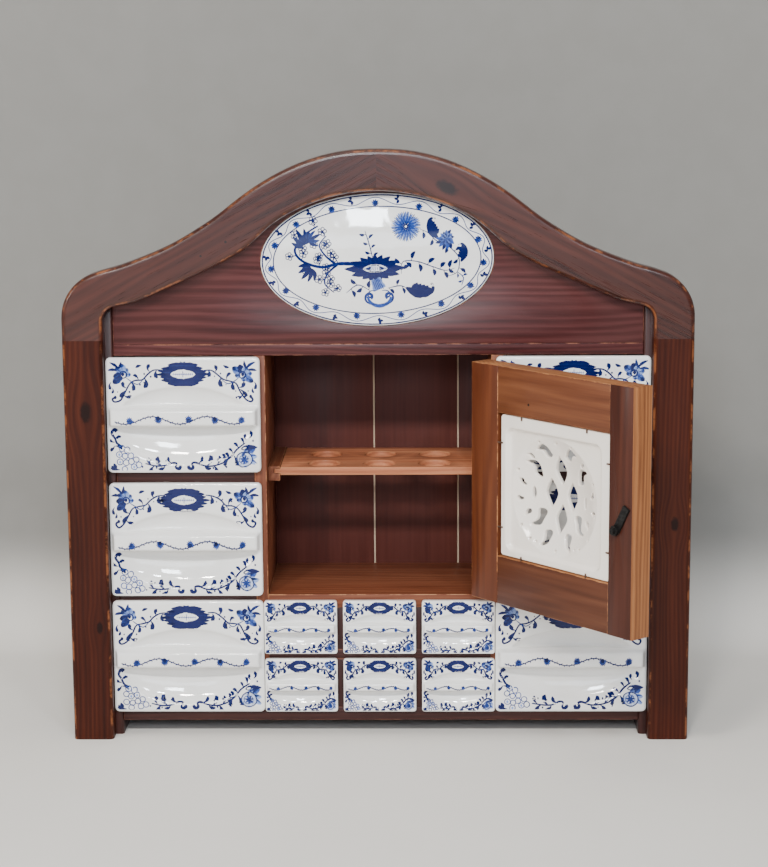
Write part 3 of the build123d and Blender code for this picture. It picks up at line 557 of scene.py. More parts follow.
MAHOGANY = WoodFinish(
    "mahogany_stain", dark=(0.013, 0.0019, 0.0006), middle=(0.038, 0.0056, 0.0014),
    light=(0.076, 0.0140, 0.0040),
    ring_gap=0.0038, gloss_low=0.34, gloss_high=0.52, varnish=0.06, fibre_height=0.00014,
    edge_wear=(0.26, 0.085, 0.030), wear_share=0.85, ring_weight=0.14, shine=0.16,
)
# Arch wood: the posts' stain with its green and blue raised. This is a painted cool sheen that stands in for
# the bluish reflection on the varnished arch.
ARCH_STAIN_AND_PAINTED_SHEEN = MAHOGANY.stained(
    "arch_stain", 1.0, 1.15, 1.9, gloss_low=0.24, gloss_high=0.42, varnish=0.42, shine=0.34,
)
# Header and top board wood: a red-brown stain whose raised blue gives a purple cast. The cast is a painted
# reflection of cool sky light on the varnish.
HEADER_STAIN_AND_PAINTED_REFLECTION = WoodFinish(
    "header_stain", dark=(0.024, 0.0050, 0.0046), middle=(0.058, 0.0130, 0.0125),
    light=(0.105, 0.030, 0.028),
    ring_gap=0.0036, gloss_low=0.30, gloss_high=0.46, varnish=0.14, fibre_height=0.00028,
    edge_wear=(0.26, 0.10, 0.06), wear_share=0.0, ring_weight=0.18, shine=0.20,
)
# Rail wood for the side panels, rails and dividers: a dark stain darkened further by painted shade. The
# shade stands in for the shadow lines that fall along the narrow strips between the drawers.
RAIL_STAIN_AND_SHADE = WoodFinish(
    "rail_stain", dark=(0.009, 0.0022, 0.0018), middle=(0.030, 0.0072, 0.0058),
    light=(0.060, 0.017, 0.013),
    ring_gap=0.0036, gloss_low=0.34, gloss_high=0.55, varnish=0.15, fibre_height=0.00014,
    edge_wear=(0.20, 0.070, 0.035), wear_share=0.0, ring_weight=0.14, shine=0.25,
)
BACK_STAIN = WoodFinish(
    "back_stain", dark=(0.036, 0.0072, 0.0052), middle=(0.062, 0.0130, 0.0088),
    light=(0.092, 0.023, 0.0155),
    ring_gap=0.0042, gloss_low=0.50, gloss_high=0.70, varnish=0.05, fibre_height=0.00014,
    edge_wear=(0.16, 0.06, 0.035), wear_share=0.0, ring_weight=0.04, shine=0.2,
)
INNER_WOOD = WoodFinish(
    "inner_wood", dark=(0.070, 0.018, 0.0075), middle=(0.150, 0.042, 0.0185),
    light=(0.240, 0.085, 0.040),
    ring_gap=0.0042, gloss_low=0.46, gloss_high=0.66, varnish=0.08, fibre_height=0.00016,
    edge_wear=(0.42, 0.19, 0.085), wear_share=0.0, ring_weight=0.12, shine=0.25,
)
SHELF_WOOD = INNER_WOOD.stained("shelf_wood", 2.4, 2.8, 2.9)
DOOR_WOOD = WoodFinish(
    "door_wood", dark=(0.060, 0.0145, 0.0052), middle=(0.126, 0.038, 0.0140),
    light=(0.205, 0.073, 0.029),
    ring_gap=0.0038, gloss_low=0.40, gloss_high=0.60, varnish=0.15, fibre_height=0.00016,
    edge_wear=(0.42, 0.18, 0.070), wear_share=0.0, ring_weight=0.12, shine=0.25,
)
HINGE_STILE_WOOD = DOOR_WOOD.stained("hinge_stile_wood", 0.76, 0.58, 0.42)
LOW_RAIL_WOOD = DOOR_WOOD.stained("low_rail_wood", 0.62, 0.58, 0.62)
LOCK_STAIN = DOOR_WOOD.stained("lock_stain", 0.40, 0.28, 0.32)
RAW_EDGE = WoodFinish(
    "raw_edge", dark=(0.130, 0.040, 0.012), middle=(0.300, 0.112, 0.038),
    light=(0.430, 0.195, 0.078),
    ring_gap=0.0036, gloss_low=0.55, gloss_high=0.75, varnish=0.05, fibre_height=0.00034,
    edge_wear=(0.55, 0.30, 0.14), wear_share=0.0,
)
BARE_TONGUE = WoodFinish(
    "bare_tongue", dark=(0.62, 0.42, 0.26), middle=(0.80, 0.60, 0.42), light=(0.90, 0.72, 0.54),
    ring_gap=0.0060, gloss_low=0.6, gloss_high=0.8, varnish=0.0, fibre_height=0.0001,
    edge_wear=(0.6, 0.4, 0.25), wear_share=0.0,
)
GLAZE = GlazeFinish("white_glaze", (0.90, 0.885, 0.86), (0.85, 0.835, 0.81), 0.045)
TILE_GLAZE = GlazeFinish("tile_glaze", (0.95, 0.875, 0.785), (0.93, 0.84, 0.745), 0.06)
COBALT = BrushPaint(
    "cobalt_paint", (0.86, 0.86, 0.85), (0.27, 0.38, 0.70), (0.018, 0.058, 0.30),
    (0.002, 0.007, 0.078),
)
BLACK_IRON = MetalFinish("black_iron", (0.030, 0.028, 0.027), (0.008, 0.008, 0.008), 0.7, 0.42)
BRASS = MetalFinish("old_brass", (0.58, 0.40, 0.16), (0.22, 0.13, 0.05), 1.0, 0.34)
STEEL = MetalFinish("nail_steel", (0.40, 0.38, 0.36), (0.10, 0.085, 0.075), 1.0, 0.40)
RUSTY_NAIL = MetalFinish("rusty_nail", (0.16, 0.085, 0.05), (0.06, 0.028, 0.016), 0.4, 0.55)
BACKDROP = BackdropFinish(
    "grey_backdrop", (0.74, 0.70, 0.645), (0.79, 0.75, 0.695), (0.235, 0.226, 0.210),
)


# ---------------------------------------------------------------- mesh helpers
def deselect() -> None:
    """Leaves object mode with nothing selected."""
    if bpy.context.object and bpy.context.object.mode != "OBJECT":
        bpy.ops.object.mode_set(mode="OBJECT")
    bpy.ops.object.select_all(action="DESELECT")


def pick(piece: Piece) -> None:
    """Makes one object the selected and active one."""
    deselect()
    piece.select_set(True)
    bpy.context.view_layer.objects.active = piece


def apply_modifier(piece: Piece, kind: str, **settings) -> None:
    """Adds a modifier to an object and applies it.

    Args:
        piece: The object.
        kind: The modifier's type.
        **settings: Properties that are set on the modifier.
    """
    pick(piece)
    modifier = piece.modifiers.new(kind.lower(), kind)
    for key, value in settings.items():
        setattr(modifier, key, value)
    bpy.ops.object.modifier_apply(modifier=modifier.name)


def copied(node: str, name: str) -> Piece:
    """Returns a merged copy of a CAD node's mesh as a new object.

    Args:
        node: The CAD node.
        name: The new object's name.
    """
    source = frame["nodes"][node]
    piece = bpy.data.objects.new(name, source.data.copy())
    bpy.context.scene.collection.objects.link(piece)
    piece.data.materials.clear()
    pick(piece)
    bpy.ops.object.mode_set(mode="EDIT")
    bpy.ops.mesh.select_all(action="SELECT")
    bpy.ops.mesh.remove_doubles(threshold=0.00001)
    bpy.ops.object.mode_set(mode="OBJECT")
    return piece


def smooth(piece: Piece, degrees: float) -> None:
    """Shades an object smooth, with edges sharper than an angle kept."""
    pick(piece)
    bpy.ops.object.shade_smooth_by_angle(angle=math.radians(degrees))


def body_of(node: str) -> str:
    """Returns the body that a CAD node belongs to."""
    for body, members in frame["record"]["behaviour"]["bodies"].items():
        if node in members:
            return body
    raise KeyError(node)


def hand_over(piece: Piece, node: str) -> None:
    """Lets a new piece stand for a CAD node on the node's own body."""
    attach(piece, body_of(node))
    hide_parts(node)
    LOG.info("%s stands for %s with %d faces", piece.name, node, len(piece.data.polygons))


def dress(node: str, material: Material) -> None:
    """Gives a carried-over CAD node its material."""
    mesh = frame["nodes"][node].data
    mesh.materials.clear()
    mesh.materials.append(material)
    LOG.info("%s keeps its solid and gets %s", node, material.name)


# ---------------------------------------------------------------- brushwork
@dataclass
class Brush:
    """Collects brush strokes as flat bands and lays them on a glazed surface."""

    hand: random.Random
    thickness: float = 1.0
    limits: tuple[float, float, float] | None = None
    points: list[tuple[float, float, float]] = field(default_factory=list)
    tones: list[float] = field(default_factory=list)
    faces: list[tuple[int, ...]] = field(default_factory=list)
    strokes: int = 0

    STEP = 1.6
    MOST_SAMPLES = 40
    LIFT = 0.00012
    EDGE_TONE = 0.72
    ACROSS = (-1.0, -0.55, 0.55, 1.0)

    def curve(self, controls: list[Point], samples: int) -> list[Point]:
        """Returns points on a smooth line through the control points."""
        ends = [controls[0]] + list(controls) + [controls[-1]]
        line = []
        for part in range(samples + 1):
            place = part / samples * (len(controls) - 1)
            at = min(int(place), len(controls) - 2)
            t = place - at
            a, b, c, d = ends[at:at + 4]
            line.append(tuple(
                0.5 * (
                    2 * b[k] + (c[k] - a[k]) * t
                    + (2 * a[k] - 5 * b[k] + 4 * c[k] - d[k]) * t * t
                    + (3 * b[k] - a[k] - 3 * c[k] + d[k]) * t ** 3
                )
                for k in (0, 1)
            ))
        return line

    def stroke(
        self, controls: list[Point], widths: list[float], tone: float, tail_tone: float = -1.0,
    ) -> None:
        """Adds one stroke.

        Args:
            controls: Points that the stroke runs through, in millimetres.
            widths: Half widths along the stroke, evenly spread.
            tone: How dark the stroke is, from 0 to 1.
            tail_tone: How dark its end is, or the same where it is negative.
        """
        reach = sum(math.dist(a, b) for a, b in zip(controls, controls[1:]))
        samples = max(4, min(self.MOST_SAMPLES, int(reach / self.STEP) + 2))
        line = self.curve(controls, samples)
        tail_tone = tone if tail_tone < 0 else tail_tone
        first = len(self.points)
        self.strokes += 1
        lift = self.strokes * self.LIFT
        for at, (x, z) in enumerate(line):
            before = line[max(at - 1, 0)]
            after = line[min(at + 1, samples)]
            dx, dz = after[0] - before[0], after[1] - before[1]
            size = math.hypot(dx, dz) or 1.0
            share = at / samples
            place = share * (len(widths) - 1)
            low = min(int(place), len(widths) - 2)
            half = widths[low] + (widths[low + 1] - widths[low]) * (place - low)
            half *= self.thickness * self.hand.uniform(0.93, 1.07)
            shade = tone + (tail_tone - tone) * share
            for side in self.ACROSS:
                px, pz = x - dz / size * half * side, z + dx / size * half * side
                if self.limits:
                    side_limit, floor, top = self.limits
                    px, pz = max(-side_limit, min(side_limit, px)), max(floor, min(top, pz))
                self.points.append((px, pz, lift))
                self.tones.append(shade * (self.EDGE_TONE if abs(side) == 1.0 else 1.0))
        for row in range(samples):
            for column in range(3):
                a = first + row * 4 + column
                self.faces.append((a, a + 1, a + 5, a + 4))

    def line(self, controls: list[Point], half: float, tone: float) -> None:
        """Adds a thin line that is fine at both ends."""
        self.stroke(controls, [half * 0.35, half, half * 1.1, half, half * 0.35], tone)

    def leaf(
        self, x: float, z: float, angle: float, length: float, half: float, tone: float,
        bend: float = 0.15,
    ) -> None:
        """Adds a pointed leaf.

        Args:
            x: Place of its foot.
            z: Place of its foot.
            angle: The way it points, in degrees.
            length: Its length.
            half: Half its width.
            tone: How dark it is.
            bend: How far its middle bows to the side, as a share of its length.
        """
        way = math.radians(angle)
        ux, uz = math.cos(way), math.sin(way)
        middle = (
            x + ux * length * 0.5 - uz * length * bend, z + uz * length * 0.5 + ux * length * bend,
        )
        self.stroke(
            [(x, z), middle, (x + ux * length, z + uz * length)],
            [0.12 * half, 0.8 * half, half, 0.66 * half, 0.08 * half], tone, tone * 0.85,
        )

    def comma(
        self, x: float, z: float, angle: float, length: float, half: float, tone: float,
        curl: float = 0.35,
    ) -> None:
        """Adds a comma stroke, round at its head and curled to a point.

        Args:
            x: Place of its tail on the stem.
            z: Place of its tail on the stem.
            angle: The way it leaves the stem, in degrees.
            length: Its length.
            half: Half the head's width.
            tone: How dark it is.
            curl: How far the head curls to the left, negative for the right.
        """
        way = math.radians(angle)
        ux, uz = math.cos(way), math.sin(way)
        sx, sz = -uz * curl * length, ux * curl * length
        self.stroke(
            [
                (x, z), (x + ux * length * 0.45 - sx * 0.25, z + uz * length * 0.45 - sz * 0.25),
                (x + ux * length * 0.85 + sx * 0.2, z + uz * length * 0.85 + sz * 0.2),
                (x + ux * length * 0.8 + sx * 0.8, z + uz * length * 0.8 + sz * 0.8),
            ],
            [0.1 * half, 0.32 * half, 0.75 * half, 1.05 * half, 0.7 * half], tone * 0.8, tone,
        )

    def ring(self, x: float, z: float, radius: float, half: float, tone: float) -> None:
        """Adds a small hand-drawn ring."""
        turn = self.hand.uniform(0, 6.28)
        corners = [
            (
                x + radius * self.hand.uniform(0.92, 1.08) * math.cos(turn + k * math.pi / 4),
                z + radius * self.hand.uniform(0.92, 1.08) * math.sin(turn + k * math.pi / 4),
            )
            for k in range(8)
        ]
        self.stroke(corners + [corners[0], corners[1]], [half, half], tone)

    def dab(self, x: float, z: float, radius: float, tone: float) -> None:
        """Adds a round dab of paint."""
        self.stroke(
            [(x - radius, z), (x, z + radius * 0.1), (x + radius, z)],
            [0.2 * radius, 0.85 * radius, radius, 0.85 * radius, 0.2 * radius], tone,
        )

    def scroll(
        self, x: float, z: float, angle: float, size: float, turn: int, tone: float,
    ) -> None:
        """Adds a spiral that ends in a dab.

        Args:
            x: Where it starts.
            z: Where it starts.
            angle: The way it sets out, in degrees.
            size: How far it reaches.
            turn: 1 to curl to the left and -1 to the right.
            tone: How dark it is.
        """
        line = [(x, z)]
        way = math.radians(angle)
        step = size / 4.2
        for k in range(9):
            x += math.cos(way) * step
            z += math.sin(way) * step
            line.append((x, z))
            way += turn * (0.32 + 0.085 * k)
            step *= 0.93
        half = size * 0.045
        self.stroke(line, [0.4 * half, half, 1.3 * half, 1.6 * half], tone)
        self.dab(*line[-1], size * 0.085, tone)

    def lay(
        self, name: str, surface: Piece, places: Matrix, scale: float, offset: float,
    ) -> Piece:
        """Builds the strokes as one object that lies on a surface.

        Args:
            name: The object's name.
            surface: The object that is painted.
            places: Takes a point of the drawing to the row frame, in metres.
            scale: Millimetres of the object for one of the drawing.
            offset: How far the first stroke lies on the glaze, in millimetres.

        Returns:
            The painting.
        """
        vertices = [v.co for v in surface.data.vertices]
        polygons = [tuple(p.vertices) for p in surface.data.polygons]
        tree = BVHTree.FromPolygons(vertices, polygons)
        low = min(v.y for v in vertices)
        toward = Vector((0, 1, 0))
        points, last = [], low
        for x, z, lift in self.points:
            start = places @ Vector((x * scale * MM, 0, z * scale * MM))
            start.y = low - 0.02
            hit = tree.ray_cast(start, toward)[0]
            last = hit.y if hit else last
            points.append((start.x, last - (offset + lift) * MM, start.z))
        mesh = bpy.data.meshes.new(name)
        mesh.from_pydata(points, [], self.faces)
        shade = mesh.attributes.new("tone", "FLOAT", "POINT")
        shade.data.foreach_set("value", self.tones)
        mesh.update()
        painting = bpy.data.objects.new(name, mesh)
        bpy.context.scene.collection.objects.link(painting)
        pick(painting)
        bpy.ops.object.shade_smooth()
        return painting


class Painter:
    """A brush in an unsteady hand."""

    def __init__(self, seed: int, brush: Brush) -> None:
        """Takes the seed of the hand's shakes and the brush."""
        self.hand = random.Random(seed)
        self.brush = brush

    def near(self, value: float, amount: float = 1.0) -> float:
        """Returns a value moved by an unsteady hand."""
        return value + self.hand.uniform(-amount, amount)


class DrawerPainter(Painter):
    """Paints a drawer's front, 156.6 wide and 118.8 high, from the middle of its lower edge."""

    BAR_MIDDLE = 55.8
    STEM = (
        (21.0, 106.0), (28.5, 106.2), (35.5, 101.5), (41.0, 96.4), (48.0, 95.2), (54.0, 92.8),
        (58.4, 84.5), (63.0, 76.2), (69.0, 73.0), (71.4, 76.4), (69.2, 78.8),
    )
    STEM_COMMAS = (
        (26.0, 106.0, -78, 6.4, 2.3, -0.4), (32.5, 104.0, 62, 6.6, 1.7, 0.5),
        (38.8, 98.2, -108, 8.0, 2.5, 0.4), (44.0, 95.6, 66, 7.6, 1.3, -0.3),
        (52.0, 94.0, -112, 7.6, 1.9, 0.4), (57.0, 88.0, 28, 6.6, 1.8, 0.5),
        (58.0, 86.0, -52, 9.0, 2.2, -0.2), (60.5, 80.5, -150, 7.0, 1.9, -0.4),
    )
    STEM_DOTS = ((32.5, 99.6), (38.4, 102.4), (43.6, 91.4), (54.0, 84.2), (47.0, 100.6), (66.5, 84.0))
    PETALS = (
        (142, 12.5, 3.1, 0.40, 0.85), (100, 10.5, 2.9, 0.80, 0.95), (58, 9.5, 2.6, 0.26, 0.60),
        (12, 10.5, 2.7, 0.24, 0.62), (-34, 13.0, 2.8, 0.40, 0.90), (-78, 7.0, 2.2, 0.30, 0.75),
        (182, 8.0, 2.4, 0.34, 0.80),
    )
    OTHER_PETALS = (
        (128, 8.0, 2.4, 0.30, 0.62), (82, 11.5, 3.4, 0.26, 0.85), (40, 11.0, 2.6, 0.34, 0.80),
        (178, 7.5, 2.2, 0.28, 0.60), (-8, 11.0, 2.8, 0.80, 0.92), (-44, 13.5, 3.0, 0.70, 0.96),
    )
    GRAPES = (
        (63.5, 25.5), (58.0, 23.4), (66.2, 19.6), (60.8, 17.6), (54.6, 18.2), (65.6, 11.0),
        (59.8, 10.4), (54.4, 11.8), (48.8, 14.2), (60.6, 4.6), (51.2, 6.8), (46.2, 8.4),
    )

    def __init__(self, seed: int, thickness: float) -> None:
        """Takes a seed, so that each front is painted a little differently."""
        super().__init__(seed, Brush(random.Random(seed + 1), thickness, DRAWER_BRUSH_LIMITS))

    def turned(self, angle: float, side: int) -> float:
        """Returns an angle of the right half as seen on a side."""
        return angle if side > 0 else 180 - angle

    def swept(
        self, points: list[Point] | tuple[Point, ...], side: int, amount: float = 0.7,
    ) -> list[Point]:
        """Returns points of the right half on a side, moved by an unsteady hand."""
        return [(side * self.near(x, amount), self.near(z, amount)) for x, z in points]

    def medallion(self) -> None:
        """Paints the jagged flower at the middle of the top, round a pale lens."""
        brush = self.brush
        x, z = self.near(-1.0, 1.5), self.near(101.8, 0.6)
        reaches = (15.5, 20.5, 23.2, 26.8, 23.4, 20.6, 15.0)
        for row, reach in enumerate(reaches):
            level = z + (3 - row) * 3.15
            left = reach * self.near(1.0, 0.06)
            right = reach * self.near(1.0, 0.06)
            bow = (3 - row) * 0.16
            brush.stroke(
                [(x - left, level - bow), (x - left * 0.5, level + bow), (x, level + bow),
                 (x + right * 0.5, level + bow), (x + right, level - bow)],
                [0.1, 1.5, 1.95, 1.7, 2.0, 1.7, 1.95, 1.5, 0.1], self.near(0.88, 0.08),
            )
            for side in (-1, 1):
                start = side * reach * self.near(0.62, 0.06)
                brush.leaf(
                    x + start, level, self.turned(self.near(0, 5), side), reach * 0.42, 1.3,
                    self.near(0.94, 0.05), 0.0,
                )
        brush.stroke(
            [(x - 12.6, z), (x - 6, z + 0.1), (x, z + 0.2), (x + 6, z + 0.1), (x + 12.6, z)],
            [
                4.7 * math.sin(math.pi * k / 10) ** 0.7 / brush.thickness + 0.1 for k in range(11)
            ], 0.0,
        )
        for k in range(-5, 6):
            brush.line(
                [(x + k * 1.9, z - 1.1), (x + k * 1.9 + 0.6, z), (x + k * 1.9 - 0.2, z + 1.2)],
                0.24, 0.45,
            )
        brush.line([(x - 10.5, z), (x, z + 0.1), (x + 10.5, z)], 0.2, 0.4)
        brush.line([(x, z - 3.4), (x + 0.1, z), (x, z + 3.6)], 0.26, 0.55)
        for side in (-1, 1):
            brush.line([(x, z + 11), (x + side * 1.2, z + 12.4), (x + side * 3, z + 12.8)], 0.3, 0.7)

    def spray(self, side: int) -> None:
        """Paints a stem from the flower to a corner, with its leaves and blossom."""
        brush = self.brush
        stem = self.swept(self.STEM, side)
        brush.stroke(stem, [0.5, 0.66, 0.66, 0.62, 0.7, 0.8, 0.95], 0.78, 0.9)
        brush.dab(stem[-1][0], stem[-1][1], 1.5, 0.92)
        second = self.swept(((40.0, 97.0), (46.0, 92.0), (52.5, 94.5), (58.0, 98.5)), side)
        brush.line(second, 0.42, 0.6)
        for x, z, angle, length, half, curl in self.STEM_COMMAS:
            brush.comma(
                side * self.near(x, 0.6), self.near(z, 0.5), self.turned(self.near(angle, 9), side),
                self.near(length, 0.8), self.near(half, 0.25), self.near(0.88, 0.08), side * curl,
            )
        for x, z in self.STEM_DOTS:
            brush.dab(side * self.near(x, 0.6), self.near(z, 0.6), self.near(0.75, 0.2), 0.8)
        self.corner_blossom(side)

    def corner_blossom(self, side: int) -> None:
        """Paints the open blossom in an upper corner, with its leaves."""
        brush = self.brush
        x, z = side * self.near(60.6, 0.6), self.near(101.4, 0.6)
        for angle, length, half, tone, tip in self.PETALS if side > 0 else self.OTHER_PETALS:
            way = self.turned(self.near(angle, 5), side)
            ux, uz = math.cos(math.radians(way)), math.sin(math.radians(way))
            size = self.near(length, 0.6)
            brush.stroke(
                [(x + ux * 2.0, z + uz * 2.0), (x + ux * size * 0.6, z + uz * size * 0.6),
                 (x + ux * size, z + uz * size)],
                [0.5 * half, 0.95 * half, half, 0.8 * half, 0.1 * half], tone, tone * 0.9,
            )
            brush.stroke(
                [(x + ux * size * 0.62, z + uz * size * 0.62), (x + ux * size, z + uz * size)],
                [0.15 * half, 0.62 * half, 0.62 * half, 0.1 * half], tone, tip,
            )
            brush.line(
                [(x + ux * 2.4, z + uz * 2.4), (x + ux * size * 0.9, z + uz * size * 0.9)], 0.26, 0.7,
            )
        brush.ring(x, z, 3.5, 0.5, 0.72)
        brush.dab(x + side * 0.4, z + 0.4, 1.7, 0.9)
        for foot, angle, length in (
            ((64.5, 107.5), 38, 12.0), ((65.0, 107.5), 108, 8.5), ((66.0, 106.0), -4, 10.0),
        ):
            brush.leaf(
                side * foot[0], foot[1], self.turned(self.near(angle, 5), side), self.near(length),
                1.25, self.near(0.78, 0.1), 0.08 * side,
            )
        brush.leaf(side * 47.5, 108.6, self.turned(158, side), 6.5, 1.2, 0.9, 0.1)
        brush.comma(side * 72.6, 94.0, self.turned(-70, side), 7.0, 1.5, 0.88, -side * 0.4)
        brush.comma(side * 71.5, 88.0, self.turned(-100, side), 5.0, 1.2, 0.84, side * 0.4)

    def garland(self) -> None:
        """Paints the hatched wave on the grip bar, with a fan of petals in each bend."""
        brush = self.brush
        shift = self.near(0.0, 3.0)

        def height(x: float) -> float:
            """Returns the wave's height at a place across the bar."""
            return self.BAR_MIDDLE + 3.9 * math.cos((x + 29.0 + shift) / 55.0 * 2 * math.pi)

        line = [(-69.0 + k * 3.25, height(-69.0 + k * 3.25)) for k in range(41)]
        brush.stroke(line, [0.44, 0.52], 0.80)
        for k in range(52):
            x = -68.0 + k * 2.5
            up = 1 if k % 2 else -1
            brush.line([(x, height(x)), (x + 0.9, height(x) + up * 1.7)], 0.36, 0.80)
        for x, up in ((-52.0, 1), (-23.0, -1), (8.0, 1), (34.5, -1), (61.5, 1)):
            x -= shift
            if abs(x) > 68:
                continue
            foot = height(x) + up * 0.3
            for fan in range(-4, 5):
                brush.leaf(
                    x + fan * 0.45, foot, up * (90 + fan * 21), self.near(6.8 - abs(fan) * 0.3, 0.5),
                    0.85, self.near(0.60, 0.16), 0.0,
                )
            brush.dab(x, foot + up * 0.8, 1.9, 0.88)

    def grapes(self, side: int) -> None:
        """Paints the bunch of grapes in a lower corner."""
        brush = self.brush
        for x, z in self.GRAPES:
            x, z = side * self.near(x, 0.5), self.near(z, 0.5)
            brush.ring(x, z, self.near(2.95, 0.15), 0.36, self.near(0.52, 0.1))
            if self.hand.random() < 0.35:
                brush.dab(x, z - 0.3, 1.2, 0.20)
        brush.comma(side * 66.0, 3.4, self.turned(12, side), 8.5, 2.3, 0.9, side * 0.2)
        brush.leaf(side * 69.0, 5.0, self.turned(60, side), 6.0, 1.6, 0.84, 0.1)
        brush.stroke(
            self.swept(((62.5, 27.5), (68.0, 30.5), (70.5, 36.0), (73.2, 41.0), (71.0, 45.2),
                        (68.6, 42.8)), side, 0.4),
            [0.5, 0.9, 0.8, 1.0, 1.3, 1.5], 0.74, 0.92,
        )
        for z, angle, size in ((28.0, 190, 7.0), (32.0, 20, 6.5), (28.5, -50, 7.0), (35.0, 150, 5.0)):
            brush.comma(
                side * 70.5, z, self.turned(angle, side), size, 1.8, self.near(0.9, 0.06), side * 0.3,
            )

    def fruit(self, side: int) -> None:
        """Paints the round fruit and its big leaves in the other lower corner."""
        brush = self.brush
        x, z = side * self.near(61.5, 0.5), self.near(13.6, 0.5)
        for angle, length, half, tone, tip in (
            (44, 15.5, 3.0, 0.45, 0.9), (12, 13.5, 3.2, 0.22, 0.5), (-24, 13.0, 2.6, 0.2, 0.45),
            (72, 12.0, 2.6, 0.35, 0.7),
        ):
            brush.leaf(x, z, self.turned(angle, side), self.near(length), half, tone, 0.12 * side)
            brush.leaf(
                x, z, self.turned(angle + 6, side), self.near(length), half * 0.36, tip, 0.16 * side,
            )
        brush.stroke(
            [(x - 7.6, z), (x, z), (x + 7.6, z)], [1.0, 5.4, 7.2, 5.4, 1.0], 0.10,
        )
        brush.ring(x, z, 7.6, 0.5, 0.66)
        brush.ring(x - side * 0.6, z, 4.6, 0.32, 0.5)
        for k in range(7):
            brush.leaf(x, z, 51 * k + 15, 5.0, 0.9, self.near(0.62, 0.12), 0)
        for k in range(5):
            brush.line([(x - 6 + k * 2.4, z - 4.5), (x - 5.4 + k * 2.4, z - 1.5)], 0.26, 0.5)
        brush.leaf(side * 58.0, 24.5, self.turned(6, side), 17.0, 2.5, 0.86, 0.05 * side)
        brush.comma(side * 66.5, 35.5, self.turned(60, side), 6.5, 1.6, 0.9, side * 0.5)
        brush.comma(side * 63.5, 33.5, self.turned(120, side), 5.0, 1.4, 0.86, -side * 0.5)
        brush.dab(side * 70.5, 33.0, 0.9, 0.8)

    def lower_scrolls(self, side: int, leafy: bool) -> None:
        """Paints the scroll that follows the lower rim of the bowl to a corner.

        Args:
            side: The side that it runs to.
            leafy: True where it climbs to the fruit with dark leaves.
        """
        brush = self.brush
        stem = [(4.2, 5.8), (6.4, 4.2), (9.0, 6.0), (7.6, 9.2), (12.0, 10.2), (20.0, 7.6), (29.0, 7.4)]
        stem += [(39.0, 10.6), (47.0, 16.0), (53.5, 23.4), (62.0, 30.4)] if leafy else [(40.0, 9.6)]
        brush.stroke(self.swept(stem, side, 0.4), [1.6, 1.3, 0.75, 0.66, 0.66, 0.7, 0.5], 0.88, 0.8)
        brush.dab(side * 4.2, 5.8, 1.7, 0.95)
        commas = [
            (14.0, 9.8, 34, 6.0, 1.6, 0.4), (20.0, 7.6, -48, 6.4, 2.0, 0.4), (23.0, 7.4, 52, 8.4, 2.5, 0.4),
            (30.0, 7.6, -50, 7.4, 2.1, -0.3), (34.0, 8.8, 60, 7.0, 1.9, 0.3),
        ]
        if leafy:
            commas += [
                (42.0, 12.6, 100, 6.0, 1.6, 0.3), (46.0, 15.0, 122, 6.0, 1.6, 0.3),
                (50.0, 20.0, 128, 6.0, 1.5, 0.3), (55.0, 25.0, 118, 5.6, 1.5, 0.3),
                (60.0, 29.0, 100, 6.0, 1.6, 0.3), (48.0, 17.0, -150, 9.5, 2.1, 0.1),
                (50.0, 18.5, -68, 11.0, 2.2, -0.1), (45.0, 14.0, -120, 8.0, 1.9, 0.1),
            ]
        for x, z, angle, length, half, curl in commas:
            brush.comma(
                side * self.near(x, 0.6), self.near(z, 0.4), self.turned(self.near(angle, 9), side),
                self.near(length, 0.6), self.near(half, 0.2), self.near(0.9, 0.07), side * curl,
            )
        for x, z in ((19.0, 12.4), (29.0, 5.0), (33.5, 13.6), (42.0, 6.4)):
            brush.dab(side * self.near(x), self.near(z, 0.5), self.near(0.8, 0.2), 0.8)

    def paint(self) -> Brush:
        """Paints the whole front and returns the brush with its strokes."""
        for side in (-1, 1):
            self.spray(side)
        self.medallion()
        self.garland()
        self.lower_scrolls(-1, False)
        self.lower_scrolls(1, True)
        self.grapes(-1)
        self.fruit(1)
        return self.brush


